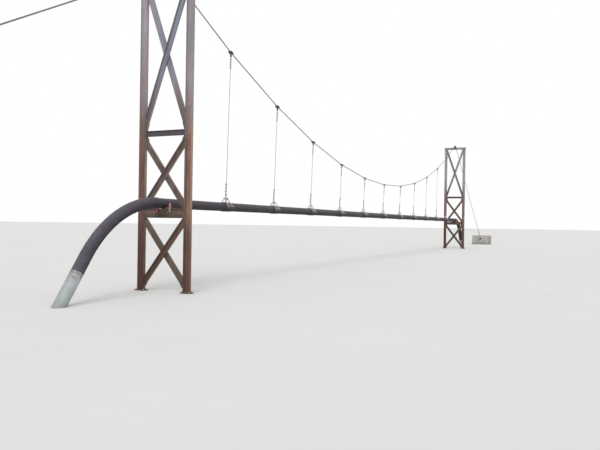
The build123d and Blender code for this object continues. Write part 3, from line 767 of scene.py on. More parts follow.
def concrete_finish(colours):
    """Weathered concrete: clouds, damp streaks down it, small holes, and moss near the ground."""
    finish = Finish("concrete", 0.9)
    clouds = finish.grain(0.05, 0.3, 0.7)
    finish.paint(finish.shades(clouds, colours.concrete, 0.72, 1.12))
    damp = finish.grain(0.012, 0.48, 0.72, (1, 1, 8.0), at=(2, 6, 1))
    finish.cover(damp, shade(colours.concrete, 0.45), 0.55)
    holes = finish.grain(0.0028, 0.66, 0.72, detail=2.0, at=(1, 1, 8))
    finish.cover(holes, shade(colours.concrete, 0.35))
    moss = finish.grain(0.01, 0.4, 0.62, at=(8, 0, 2))
    finish.cover(finish.between(finish.where[2], 0.045, 0.0, 0.0, 0.8),
                 shade(colours.lichen, 0.8), moss)
    finish.bump(finish.maths("SUBTRACT", clouds, holes), 0.8 * MM)
    finish.bump(finish.grain(0.003, 0.3, 0.7), 0.2 * MM)
    return finish.material


FINISHES = {}


def make_finishes(colours):
    """Every finish of the bridge, made once."""
    rust, red_rust, slate = colours.rust, colours.red_rust, colours.slate
    FINISHES.update(
        pipe=pipe_finish("pipe_brown", colours),
        clamp=pipe_finish("clamp_brown", colours, 0.35, True),
        coating=coating_finish(colours),
        zinc=zinc_finish("galvanised", colours),
        yoke=zinc_finish("galvanised_yokes", colours, 1.3),
        bolt=zinc_finish("dull_bolts", colours, 0.5),
        dark_iron=dark_iron_finish(colours),
        # Painted shade on the legs: below paints them darker rust towards the ground, and across
        # paints each web dark brown beside a flange.
        front_leg=rusty_steel(
            "rusty_front_legs", colours, rust, red=0.95, chalk=0.25, moss=0.2,
            across=(-0.081, -0.088), below=(0.27, 0.10, 0.5, shade(rust, 0.5)), fade=(0.46, 0.70)),
        back_leg=rusty_steel(
            "rusty_back_legs", colours, red_rust, red=0.7, chalk=0.2, moss=0.4,
            across=(0.085, 0.093), below=(0.27, 0.10, 0.5, shade(red_rust, 0.4)),
            upper=shade(colours.bleached, 1.12), fade=(0.44, 0.80)),
        rising=rusty_steel(
            "rusty_rising_braces", colours, red_rust, red=0.10, chalk=0.6, moss=0.3,
            below=(0.27, 0.22, 0.8, colours.tan_rust), upper=shade(slate, 1.2)),
        falling=rusty_steel(
            "rusty_falling_braces", colours, red_rust, red=0.12, chalk=0.6, moss=0.3,
            below=(0.27, 0.22, 0.8, colours.grey_tan), upper=shade(slate, 1.15)),
        strut=rusty_steel("rusty_struts", colours, colours.purple, red=1.0, chalk=0.15, moss=0.1),
        beam=rusty_steel(
            "rusty_beams", colours, red_rust, red=0.45, chalk=0.9, moss=0.2,
            below=(0.257, 0.249, 0.85, shade(colours.lichen, 0.6))),
        steel=rusty_steel("rusty_steel", colours, red_rust, moss=0.6),
        orange=orange_rust_finish(colours),
        lining=lining_finish(colours),
        concrete=concrete_finish(colours),
        cable=rope_finish("cable_rope", colours, 1.2),
        hanger=rope_finish("hanger_rope", colours, 1.7))


# Shapes used in several places

def washer(radius):
    """A washer for a bolt of this radius, standing on X = 0."""
    return lathed([(0, 2.1 * radius), (0.3 * radius, 2.1 * radius)], 14)


def nut_and_end(radius):
    """A washer, a nut and the end of the bolt, standing on X = 0; outlines are in bolt radii."""
    nut = lathed(radius * np.array([(0.3, 1.7), (1.6, 1.7), (1.85, 1.45)]), 6)
    end = lathed(radius * np.array([(0, 1), (2.5, 1), (2.7, 0.8)]), 10)
    return joined([washer(radius), nut, end])


def bolt_head(radius):
    """A washer and a six-sided head, standing on X = 0; the outline is in bolt radii."""
    head = lathed(radius * np.array([(0.3, 1.7), (1.3, 1.7), (1.55, 1.45)]), 6)
    return joined([washer(radius), head])


def shank(radius, low, high, around=10):
    """A bolt's plain shank along X."""
    return lathed([(low, radius), (high, radius)], around)


def bolted(radius, above, below):
    """Bolt heads that stand on the places above, and nuts that hang from those below."""
    return copies(bolt_head(radius), above, UPWARD), copies(nut_and_end(radius), below, DOWNWARD)


def headed_pin(radius, head_radius, reach, head):
    """A pin along X with a chamfered head at each end."""
    edge = head * 0.3
    half = np.array([(reach, radius), (reach, head_radius), (reach + head - edge, head_radius),
                     (reach + head, head_radius - edge)])
    return lathed(np.vstack([half[::-1] * (-1, 1), half]), 20)


def hanger_pin(reach):
    """A pin for a hanger's eye, along X."""
    return headed_pin(1.2 * MM, 1.9 * MM, reach, 0.8 * MM)


def eye_run(eye_radius, offset, tail, neck):
    """A rope's way round its eye, as (u, v): from the tail's end, round the origin, to the neck.

    u points up the rope and v away from the tail. A cubic joins each straight to the circle.
    """
    first, last = -75, 62 - 360
    loop = arc((0, 0), eye_radius, first, last, 30)
    start, stop = ((math.sin(t), -math.cos(t)) for t in np.radians([first, last]))
    into = cubic((neck, -offset), (-1, 0), loop[0], start, neck)
    away = cubic(loop[-1], stop, (neck, 0), (1, 0), neck)
    tail_run = np.linspace((tail, -offset), (neck, -offset), 8)
    return np.vstack([tail_run[:-1], into[:-1], loop, away[1:]])


def in_plane(flat, origin, u_way, v_way):
    """Flat points (u, v) set out from an origin along two directions."""
    return np.asarray(origin) + flat[:, :1] * np.asarray(u_way) + flat[:, 1:] * np.asarray(v_way)


def thimble(eye_radius, neck, rope_radius, centre, u_way, v_way):
    """A grooved thimble inside a rope's eye: a crescent section carried round the eye and up to its
    neck."""
    flat = eye_run(eye_radius, TAIL_OFFSET * rope_radius, neck * 1.1, neck)
    path = in_plane(flat[flat[:, 0] < neck * 0.62], centre, u_way, v_way)
    side = np.cross(u_way, v_way)
    up = np.cross(unit(np.gradient(path, axis=0)), side)
    inward = np.sign(np.mean(np.sum(up * (centre - path), 1)))
    lip = np.radians(np.linspace(-68, 68, 7)) + inward * math.pi / 2
    inner, outer = rope_radius * 1.01, rope_radius * 1.16 + 0.05 * MM
    return carried(path, np.vstack([outer * spokes(lip), inner * spokes(lip[::-1])]), side)


def rope_clip(radius):
    """A U-bolt round a rope and its tail, with a saddle and two nuts: the rope along X at the
    origin, the tail towards +Z."""
    offset, wire, bottom = TAIL_OFFSET * radius, 0.42 * radius, -2.9 * radius
    leg = radius + wire
    bow = arc((0, offset), leg, 0, 180, 9)
    side = np.array([(leg, bottom), (leg, offset / 2)])
    flat = np.vstack([side, bow, side[::-1] * (-1, 1)])
    bolt = carried(in_space(flat, 0), circle(wire, 8), X_AXIS)
    hug = radius * np.array([(-2.1, -1.25), (-1.1, -1.2), (0, -1.45), (1.1, -1.2), (2.1, -1.25)])
    section = oblong(2.6 * radius, 0.75 * radius, 0.2 * radius)
    saddle = carried(in_space(hug, 0), section, X_AXIS)
    nut = lathed(wire * np.array([(0, 2), (1.5, 2), (1.8, 1.6)]), 6)
    nuts = copies(nut, [(0, y, -1.62 * radius) for y in (leg, -leg)], DOWNWARD)
    return joined([bolt, saddle, nuts])


def half_shell(inner, wall, length, flange_z, flange_end, bend, edge):
    """The upper half of a clamp about the X axis: a flat strip bent over a circle, with a flange on
    each side at height flange_z, out to flange_end."""
    middle = inner + wall / 2
    low, high = math.asin(flange_z / middle), math.asin((flange_z + bend) / middle)
    foot = middle * math.cos(low)
    shoulder = (-middle * math.cos(high), middle * math.sin(high))
    corner = bent((-foot - bend, flange_z), (-foot, flange_z), shoulder, 6)[:-1]
    over = arc((0, 0), middle, 180 - math.degrees(high), math.degrees(high), 33)
    left = np.vstack([[(-flange_end, flange_z)], corner])
    flat = np.vstack([left, over, left[::-1] * (-1, 1)])
    return carried(in_space(flat, 0), oblong(length, wall, edge), X_AXIS)


class PipeOperator(Operator):
    """The pipe over the span, its two bends and the coated risers"""
    bl_idname = "bridge.pipe"
    bl_label = "Pipe, bends and risers"

    def execute(self, context):
        sizes = context.scene.bridge_sizes
        self.span(sizes)
        for end, side in ENDS.items():
            self.bend_and_riser(end, side, sizes)
        return {"FINISHED"}

    def span(self, sizes):
        """The straight pipe. At a weld it grows by height (1 - (distance / half width)^2)."""
        reach, rows = 2451.9 * MM, 62
        welds = np.array([-1.8, -0.6, 0.6, 1.8])
        width = sizes.weld_width / 2
        beads = (welds[:, None] + width * np.array([-1, -0.7, -0.3, 0, 0.3, 0.7, 1])).ravel()
        xs = np.unique(np.concatenate([np.linspace(-reach, reach, rows), beads]))
        gap = np.abs(xs[:, None] - welds).min(1) / width
        grow = 1 + sizes.weld_height / sizes.pipe_radius * np.clip(1 - gap ** 2, 0, 1)
        path = np.outer(xs, X_AXIS) + PIPE_Z * Z_AXIS
        tube = carried(path, circle(sizes.pipe_radius, PIPE_SIDES), Y_AXIS, grow=grow)
        piece("pipe_over_span", "pipe_brown", ["pipe_span"], pipe=[tube])

    def bend_and_riser(self, end, side, sizes):
        """A bend swept along its arc from its face at the tower to the joint with the riser."""
        radius, turn = 385 * MM, 54.0
        face, start = 2440 * MM, 2442 * MM
        joint = np.array([2784.2, 85.0]) * MM
        sweep = arc((start, PIPE_Z - radius), radius, 90, 90 - turn, 49)
        way = unit(joint - sweep[-1])
        collar = [(face + step, PIPE_Z) for step in (0, 0.8 * MM, 1.6 * MM)]
        flat = np.vstack([collar, sweep, [joint - way * step for step in (2 * MM, 1 * MM, 0)]])
        grow = np.ones(len(flat))
        grow[:2] = 0.915, 0.985
        grow[-2:] = 1.012, 1.0
        path = in_space(flat * (side, 1), 1)
        tube = carried(path, circle(sizes.bend_radius, PIPE_SIDES), Y_AXIS, grow=grow)
        piece(f"{end}_bend", "pipe_brown", [f"{end}_pipe_bend"], pipe=[tube])
        self.riser(end, path[-1], in_space(way * (side, 1), 1), sizes.bend_radius)

    def riser(self, end, top, way, radius):
        """A coated tube from the joint down to the ground, cut level there and hollow from below.

        point(i, t) = run(i) + reach(i) (cos t Y + sin t (way x Y)); rows 4 to 6 then slide along
        the tube to the ground, and row 4 a little back up.
        """
        bore, bore_depth, lip = radius - 1.2 * MM, 100 * MM, 0.4 * MM
        foot = top - way * top[2] / way[2]
        runs = np.array([top, top, top + way * 0.5 * MM, top + way * 30 * MM, foot, foot, foot,
                         foot - way * bore_depth])
        reach = np.array([radius * 0.97, radius + 0.15 * MM, radius + 0.25 * MM, radius, radius,
                          radius, bore, bore])
        around = spokes(angles(PIPE_SIDES)) @ np.array([Y_AXIS, np.cross(way, Y_AXIS)])
        points = runs[:, None] + reach[:, None, None] * around
        points[4:7] -= way * (points[4:7, :, 2:] / way[2])
        points[4] -= way * lip
        piece(f"{end}_riser", "riser_coating", [f"{end}_pipe_riser"], coating=[grid(points)])


class CableOperator(Operator):
    """The main cable and the two backstays, laid as one rope from eye to eye"""
    bl_idname = "bridge.cable"
    bl_label = "Main cable and backstays"

    def execute(self, context):
        sizes = context.scene.bridge_sizes
        radius = sizes.cable_radius
        half, tip = self.far_half(radius)
        whole = np.vstack([half[::-1] * (-1, 1), half[1:]])
        lay = sizes.lay * 2 * radius
        path, distance = spaced(in_space(whole, 1), lay / 12)
        near, far = (int(np.abs(path[:, [0, 2]] - tip * (side, 1)).sum(1).argmin())
                     for side in ENDS.values())
        outline = strand_outline(radius, sizes.strands, 5)
        turn = distance / lay * 2 * math.pi
        for name, first, last, node in (("near_stay_rope", 0, near, "near_backstay"),
                                        ("cable", near, far, "main_cable"),
                                        ("far_stay_rope", far, len(path) - 1, "far_backstay")):
            part = slice(first, last + 1)
            rope = carried(path[part], outline, Y_AXIS, turn=turn[part], run=distance[part])
            piece(name, "cable_rope", [node], sharp=70, cable=[rope])
        self.eyes(radius)
        return {"FINISHED"}

    def far_half(self, radius):
        """From the middle of the span over the saddle and round the stay's eye, as (x, z), and the
        point where the saddle ends. The cable is straight from band to band, and eased at each but
        the middle one."""
        xs = np.append(-BAY, HANGER_XS[HANGER_XS >= 0])
        over = arc(SADDLE_CENTRE, SADDLE_RADIUS, 90 + math.degrees(SPAN_SLOPE),
                   90 - math.degrees(STAY_SLOPE), 40)
        corners = np.vstack([np.stack([xs, cable_z(xs)], 1), over[:1]])
        steps = 6
        kinked = eased(corners, 8 * MM, steps)[steps:-1]
        loop = eye_run(offset=TAIL_OFFSET * radius, tail=64 * MM, **STAY_LOOP)
        eye = in_plane(loop[::-1], STAY_EYE, STAY_UP, STAY_OUT)
        return np.vstack([kinked, over, eye]), over[-1]

    def eyes(self, radius):
        """The thimble in each stay's eye, and the clips that close it."""
        steps = np.array([24, 32, 40, 48, 56]) * MM
        ways = (at_ends(flat) for flat in (STAY_UP, STAY_OUT, STAY_EYE))
        for end, up, out, centre in zip(ENDS, *ways):
            clips = copies(rope_clip(radius), centre + np.outer(steps, up),
                           turned(up, np.cross(-out, up)))
            lining = thimble(rope_radius=radius, centre=centre, u_way=up, v_way=out, **STAY_LOOP)
            piece(f"{end}_stay_clips", "galvanised", zinc=[clips, lining])


class HangerOperator(Operator):
    """The eleven hanger ropes with their eyes, tails, thimbles and clips"""
    bl_idname = "bridge.hangers"
    bl_label = "Hanger ropes"

    def execute(self, context):
        sizes = context.scene.bridge_sizes
        radius = sizes.hanger_radius
        lay = sizes.lay * 2 * radius
        outline = strand_outline(radius, sizes.strands, 3)
        clip = rope_clip(radius)
        upper_clips = np.array([14, 21, 28, 35, 42, 49]) * MM
        lower_clips = np.array([14, 27, 40, 53]) * MM
        ropes, fittings = [], []
        for x, clamp in zip(HANGER_XS, CLAMPS):
            band_pin, yoke_pin = np.array([x, 0, cable_z(x) - BAND_DROP]), clamp + EYE_RISE * Z_AXIS
            up = unit(band_pin - yoke_pin)
            across = np.cross(Y_AXIS, up)
            top, foot = band_pin - up * MM, yoke_pin + up * MM
            path, distance, swing = self.run(radius, top, foot, up, across, lay / 12)
            side = np.outer(np.cos(swing), Y_AXIS) + np.outer(np.sin(swing), across)
            turn = distance / lay * 2 * math.pi
            ropes.append(carried(path, outline, side, turn=turn, run=distance))
            fittings += [
                thimble(rope_radius=radius, centre=top, u_way=-up, v_way=-across, **HANGER_LOOP),
                thimble(rope_radius=radius, centre=foot, u_way=up, v_way=-Y_AXIS, **HANGER_LOOP),
                copies(clip, top - np.outer(upper_clips, up), turned(up, -Y_AXIS)),
                copies(clip, foot + np.outer(lower_clips, up), turned(up, across))]
        piece("hanger_ropes", "hanger_rope", ["hangers"], sharp=70, hanger=ropes)
        piece("hanger_clips", "dark_iron", dark_iron=fittings)
        return {"FINISHED"}

    def run(self, radius, top, foot, up, across, step):
        """A hanger's path and distances, and the angle of its side vector from Y, which goes from
        0 to a right angle along the straight run, as the lower eye lies square to the upper one."""
        neck, offset = HANGER_LOOP["neck"], TAIL_OFFSET * radius
        upper = eye_run(offset=offset, tail=54 * MM, **HANGER_LOOP)
        lower = eye_run(offset=offset, tail=58 * MM, **HANGER_LOOP)
        path, distance = spaced(np.vstack([in_plane(upper, top, -up, -across),
                                           in_plane(lower[::-1], foot, up, -Y_AXIS)]), step)
        height = (path - foot) @ up
        aside = np.linalg.norm(path - foot - np.outer(height, up), axis=1)
        straight = (aside < 0.01 * MM) & (height > neck) & (height < (top - foot) @ up - neck)
        start, stop = distance[straight][[0, -1]]
        return path, distance, np.clip((distance - start) / (stop - start), 0, 1) * math.pi / 2


class BandOperator(Operator):
    """The cable bands with their ears, bolts and the pins of the hangers"""
    bl_idname = "bridge.cable_bands"
    bl_label = "Cable bands"

    def execute(self, context):
        places = in_space(np.stack([HANGER_XS, cable_z(HANGER_XS)], 1), 1)
        tilts = turned(in_space(spokes(cable_tilt(HANGER_XS)), 1), Y_AXIS)
        upper = half_shell(inner=2.62 * MM, wall=1.4 * MM, length=17 * MM, flange_z=1.2 * MM,
                           flange_end=7.72 * MM, bend=0.9 * MM, edge=0.2 * MM)
        seats = spots((-4.6, 4.6), (-6.1, 6.1), 1.9)
        bolt = 0.8 * context.scene.bridge_sizes.bolt_radius
        heads, nuts = bolted(bolt, seats, seats * (1, 1, -1))
        ear = eye_plate(shackle_outline(radius=3.2 * MM, height=6.3 * MM), 1.3 * MM, 1.2 * MM)
        ears = copies(ear, [(0, y, -BAND_DROP) for y in (-2 * MM, 2 * MM)])
        piece("band_tops", "dark_iron", ["upper_cable_bands"],
              dark_iron=[copies(joined([upper, heads]), places, tilts)])
        piece("band_bottoms", "dark_iron", ["lower_cable_bands"],
              dark_iron=[copies(joined([flipped(upper), nuts]), places, tilts),
                         copies(ears, places)])
        pins = copies(hanger_pin(2.7 * MM), places - BAND_DROP * Z_AXIS, turned(Y_AXIS, -X_AXIS))
        piece("hanger_pin_set", "galvanised", ["hanger_pins"], zinc=[pins])
        return {"FINISHED"}


class ClampOperator(Operator):
    """The pipe clamps with their linings and bolts"""
    bl_idname = "bridge.pipe_clamps"
    bl_label = "Pipe clamps"

    def execute(self, context):
        radius = context.scene.bridge_sizes.bolt_radius
        upper = half_shell(inner=16.85 * MM, wall=0.9 * MM, length=52 * MM, flange_z=2.7 * MM,
                           flange_end=23.7 * MM, bend=1.4 * MM, edge=0.15 * MM)
        seats = spots((-20, 0, 20), (-21.4, 21.4), 3.15)
        heads, nuts = bolted(radius, seats, seats * (1, 1, -1))
        shanks = copies(shank(radius, -3 * MM, 3 * MM), seats * (1, 1, 0), UPWARD)
        piece("clamp_tops", "pipe_brown", ["upper_pipe_clamps"],
              clamp=[copies(upper, CLAMPS)], bolt=[copies(heads, CLAMPS)])
        piece("clamp_bottoms", "pipe_brown", ["lower_pipe_clamps"],
              clamp=[copies(flipped(upper), CLAMPS)], bolt=[copies(joined([nuts, shanks]), CLAMPS)])
        self.linings(middle=16.55 * MM, half_gap=1.1 * MM)
        return {"FINISHED"}

    def linings(self, middle, half_gap):
        """Two curved sheets in each clamp, which stop half_gap short of the flanges' plane."""
        start = math.degrees(math.asin(half_gap / middle))
        over = arc((0, 0), middle, 180 - start, start, 49)
        sheet = carried(in_space(over, 0), oblong(56 * MM, 0.5 * MM, 0.1 * MM), X_AXIS)
        sheets = copies(joined([sheet, flipped(sheet)]), CLAMPS)
        piece("lining_sheets", "lining_red", ["clamp_linings"], lining=[sheets])


class YokeOperator(Operator):
    """The yokes over the pipe clamps and the pins through their eyes"""
    bl_idname = "bridge.yokes"
    bl_label = "Yokes and pins"

    def execute(self, context):
        lean = math.radians(38.04)
        clear, foot_z, foot_y = 19.6 * MM, 4.2 * MM, 21.6 * MM
        end_y, end_z = (clear - foot_z * math.sin(lean)) / math.cos(lean), foot_z - 0.6 * MM
        line = eased([(end_y, end_z), (0, EYE_RISE), (-end_y, end_z)], 4.5 * MM, 12)
        strap = carried(in_space(line, 0), oblong(1.2 * MM, 3.6 * MM, 0.15 * MM), X_AXIS)
        eye = eye_plate(np.full(32, 3.4 * MM), 1.3 * MM, 1.36 * MM)
        eye = copies(eye, EYE_RISE * Z_AXIS, turned(-Y_AXIS, X_AXIS))
        feet = copies(slab(8 * MM, 4 * MM, 1 * MM),
                      [(0, y, foot_z - 0.5 * MM) for y in (-foot_y, foot_y)])
        pair = copies(joined([strap, eye, feet]), spots((-12, 12), [0]))
        piece("yoke_straps", "galvanised", ["yokes"], yoke=[copies(pair, CLAMPS)])
        pins = copies(hanger_pin(12.7 * MM), CLAMPS + EYE_RISE * Z_AXIS)
        piece("yoke_pin_set", "galvanised", ["yoke_pins"], yoke=[pins])
        return {"FINISHED"}


class TowerOperator(Operator):
    """The towers' finishes and bolts, the leg caps, the cradles and the guide posts"""
    bl_idname = "bridge.towers"
    bl_label = "Towers"

    def execute(self, context):
        sizes = context.scene.bridge_sizes
        for end in ENDS:
            for finish, node in (("front_leg", "leg_front"), ("back_leg", "leg_back"),
                                 ("strut", "middle_strut"), ("beam", "pipe_beam"),
                                 ("beam", "cap_beam"), ("rising", "rising_braces"),
                                 ("falling", "falling_braces"), ("steel", "base_plates")):
                dress(finish, sizes.steel_edge, f"{end}_{node}")
            dress("dark_iron", 2 * sizes.steel_edge, f"{end}_cable_saddle")
        self.gusset_plates()
        self.brace_bolts(sizes)
        self.base_bolts(sizes)
        self.top_bolts(sizes)
        self.leg_caps()
        self.cradles()
        self.guide_posts()
        return {"FINISHED"}

    def gusset_plates(self):
        """The plates that join the braces to the legs and run up to the beams, and the packings
        between the braces where they cross.

        A plate's free corner is cut away parallel to its brace.
        """
        reach, thickness, edge = 15 * MM, 0.8 * MM, 0.08 * MM
        inner, cut = LEG_FACE - 13 * MM, LEG_FACE - 6 * MM
        shells = []
        for low, high, floor, roof in PANELS:
            drop = (cut - inner) * (high - low) / (2 * LEG_FACE)
            foot, head = high - reach, low + reach
            for outline in ([(LEG_FACE, foot), (LEG_FACE, roof), (cut, roof),
                             (inner, roof - drop), (inner, foot)],
                            [(LEG_FACE, floor), (LEG_FACE, head), (inner, head),
                             (inner, floor + drop), (cut, floor)]):
                mirrored = np.array(outline[::-1]) * (-1, 1)
                shells += [prism(outline, thickness, edge), prism(mirrored, thickness, edge)]
            packing = slab(thickness, reach, reach, edge)
            shells.append(copies(packing, (0, 0, (low + high) / 2)))
        piece("gusset_plates", "rusty_steel", [f"{end}_gussets" for end in ENDS],
              falling=[copies(joined(shells), TOWERS)])

    def brace_bolts(self, sizes):
        """Two bolts at each end of each brace, heads on its web, and one through each crossing."""
        head, nut = bolt_head(sizes.brace_bolt_radius), nut_and_end(sizes.brace_bolt_radius)
        big_head, big_nut = bolt_head(sizes.bolt_radius), nut_and_end(sizes.bolt_radius)
        web, gusset = 1.1 * MM, 0.4 * MM
        inset = np.array([7, 13]) * MM
        shells = []
        for tower, side in zip(TOWERS, ENDS.values()):
            out = side * X_AXIS
            for low, high, _, _ in PANELS:
                for climb, facing in ((-1, out), (1, -out)):
                    foot = tower + (0, -climb * LEG_FACE, low)
                    line = np.array([0, 2 * climb * LEG_FACE, high - low])
                    length = np.linalg.norm(line)
                    steps = np.append(inset, length - inset)
                    places = foot + np.outer(steps / length, line)
                    shells.append(copies(head, places + web * facing, turned(facing, Z_AXIS)))
                    shells.append(copies(nut, places - gusset * facing, turned(-facing, Z_AXIS)))
                middle = tower + (0, 0, (low + high) / 2)
                shells.append(copies(big_head, middle + web * out, turned(out, Z_AXIS)))
                shells.append(copies(big_nut, middle - web * out, turned(-out, Z_AXIS)))
        piece("brace_bolts", "rusty_steel", strut=shells)

    def base_bolts(self, sizes):
        """The holding-down bolts of the base plates."""
        radius = sizes.stud_radius
        bolt = joined([nut_and_end(radius), shank(radius, -2.4 * MM, 0.1 * MM, 12)])
        places = at_towers(spots((-8, 8), (-106, -74, 74, 106), 2.5))
        piece("base_bolts", "rusty_steel", zinc=[copies(bolt, places, UPWARD)])

    def top_bolts(self, sizes):
        """Bolts through the leg caps, and bolted clips that hold the saddles to the cap beams."""
        radius = sizes.brace_bolt_radius

        def around(x, ys, z):
            """Places at -x and x, with each y, about each tower's foot."""
            return at_towers(spots((-x, x), ys, z))

        leg_ys, clip_ys = (-98, -82, 82, 98), (-7.2, 7.2)
        caps = bolted(radius, around(3.2, leg_ys, 996.85), around(3.2, leg_ys, 995))
        clips = bolted(radius, around(6.6, clip_ys, 1018), around(6.6, clip_ys, 1014.15))
        plates = copies(slab(5.6 * MM, 3.6 * MM, 0.9 * MM), around(5.4, clip_ys, 1014.6))
        shanks = copies(shank(radius, -1.6 * MM, 1.6 * MM), around(6.6, clip_ys, 1015.5), UPWARD)
        piece("top_bolts", "rusty_steel", strut=[*caps, *clips, plates, shanks])

    def leg_caps(self):
        """The plates on top of the legs."""
        plates = copies(slab(14 * MM, 24 * MM, 1 * MM), at_towers(spots([0], (-90, 90), 995.5)))
        piece("leg_cap_plates", "rusty_steel", ["leg_caps"], beam=[plates])

    def cradles(self):
        """The blocks under the pipe, hollowed to its round."""
        half, top, hollow_radius = 12 * MM, BEAM_TOP + 5 * MM, 16.3 * MM
        reach = math.degrees(math.acos((PIPE_Z - top) / hollow_radius))
        hollow = arc((0, PIPE_Z), hollow_radius, -90 + reach, -90 - reach, 25)
        foot = [(-half, BEAM_TOP), (half, BEAM_TOP), (half, top)]
        outline = np.vstack([foot, hollow, [(-half, top)]])
        blocks = copies(prism(outline, 12 * MM, 0.1 * MM), TOWERS)
        piece("cradle_blocks", "rusty_steel", ["pipe_cradles"], steel=[blocks])

    def guide_posts(self):
        """The tapered plates and stems beside the pipe at each tower."""
        top, lap, face, thickness = BEAM_TOP + 18 * MM, BEAM_TOP - 10 * MM, 6.1 * MM, 1.2 * MM
        half, half_top, depth, depth_top = 3.75 * MM, 2.25 * MM, 11 * MM, 4 * MM
        plate = prism(eased_loop([(-half, lap), (half, lap), (half_top, top), (-half_top, top)],
                                 0.5 * MM), thickness)
        stem = prism(eased_loop([(face - depth, BEAM_TOP), (face, BEAM_TOP), (face, top),
                                 (face - depth_top, top)], 0.4 * MM), thickness)
        post = joined([copies(plate, (face + thickness / 2, 0, 0)),
                       copies(stem, (0, 0, 0), turned(-Y_AXIS, X_AXIS))])
        places = spots([0], (-24.5, 24.5))
        shells = [copies(post, tower + places, turned(side * X_AXIS, side * Y_AXIS))
                  for tower, side in zip(TOWERS, ENDS.values())]
        piece("guide_post_set", "orange_rust", ["guide_posts"], orange=shells)


class AnchorOperator(Operator):
    """The anchor blocks, lugs and turnbuckles"""
    bl_idname = "bridge.anchors"
    bl_label = "Anchors and turnbuckles"

    def execute(self, context):
        sizes = context.scene.bridge_sizes
        dress("concrete", sizes.concrete_edge, *(f"{end}_anchor_block" for end in ENDS))
        places = at_ends(STAY_FOOT)
        turns = turned(at_ends(STAY_UP), [side * Y_AXIS for side in ENDS.values()])
        lug_rise, stay_rise = 14 * MM, 111.2 * MM
        plate, bolts = self.lug_plate(sizes)
        outline = shackle_outline(radius=5 * MM, height=13 * MM)
        lug = copies(eye_plate(outline, 1.8 * MM, 4.4 * MM, 0.2 * MM), (lug_rise, 0, 0), UPWARD)
        piece("lug_plates", "rusty_steel", ["anchor_lugs"],
              steel=[copies(joined([plate, lug]), places, turns)],
              zinc=[copies(bolts, places, turns)])
        piece("turnbuckle_bodies", "galvanised", ["turnbuckle_frames"],
              zinc=[copies(self.turnbuckle(), places, turns)])
        fork = self.forked_screw(sizes.thread_pitch)
        pair = joined([copies(fork, (lug_rise, 0, 0)),
                       copies(fork, (stay_rise, 0, 0), turned(-X_AXIS, -Y_AXIS))])
        piece("turnbuckle_forks", "galvanised", ["turnbuckle_screws"],
              zinc=[copies(pair, places, turns)])
        return {"FINISHED"}

    def lug_plate(self, sizes):
        """The plate on the block, and the four nuts on its corners. X points up the stay."""
        plate = copies(slab(2 * MM, 26 * MM, 26 * MM), (1 * MM, 0, 0))
        corners = [(2 * MM, y * MM, z * MM) for y in (-9.5, 9.5) for z in (-9.5, 9.5)]
        return plate, copies(nut_and_end(sizes.stud_radius), corners)

    def turnbuckle(self):
        """Two rounded bars that join two bored bosses, from 36.6 to 88.6 mm up the stay."""
        ring = [(0, 3.2), (0.3, 3.5), (6.7, 3.5), (7.0, 3.2), (7.0, 1.95), (6.7, 1.9), (0.3, 1.9),
                (0, 1.95)]
        boss = lathed(np.array(ring) * MM, 28, ring=True)
        bosses = [copies(boss, (36.6 * MM, 0, 0)),
                  copies(boss, (88.6 * MM, 0, 0), turned(-X_AXIS, -Y_AXIS))]
        line = np.array([(38, 3.0), (44, 4.3), (62.6, 4.3), (81.2, 4.3), (87.2, 3.0)]) * MM
        bar = carried(in_space(eased(line, 2.5 * MM, 8), 1),
                      oblong(2.4 * MM, 2.4 * MM, 0.8 * MM, 4), Y_AXIS)
        return joined([*bosses, bar, copies(bar, (0, 0, 0), turned(X_AXIS, -Y_AXIS))])

    def forked_screw(self, pitch):
        """A fork about a pin on the Y axis, and a threaded rod along X.

        The rod's radius is its mean one plus half the thread's depth times sin(2 pi x / pitch - t).
        """
        gap, back = 3.1 * MM, 9.8 * MM
        bend = [(-1 * MM, gap), (back, gap), (back, -gap), (-1 * MM, -gap)]
        bow = carried(in_space(eased(bend, 1.6 * MM, 8), 2),
                      oblong(6.6 * MM, 1.6 * MM, 0.25 * MM), Z_AXIS)
        eye = eye_plate(np.full(32, 3.3 * MM), 1.7 * MM, 1.62 * MM)
        eyes = copies(eye, [(0, y, 0) for y in (-gap, gap)])
        pin = headed_pin(1.7 * MM, 2.3 * MM, 3.95 * MM, 0.75 * MM)
        start, stop, steps = 9.2 * MM, 34.6 * MM, 6
        x = np.linspace(start, stop, round((stop - start) / pitch * steps) + 1)
        radius = 1.66 * MM + 0.13 * MM * np.sin(2 * math.pi * x[:, None] / pitch - angles(16))
        rod = grid(about_x(x, radius))
        return joined([bow, eyes, copies(pin, (0, 0, 0), turned(Y_AXIS, -X_AXIS)), rod])


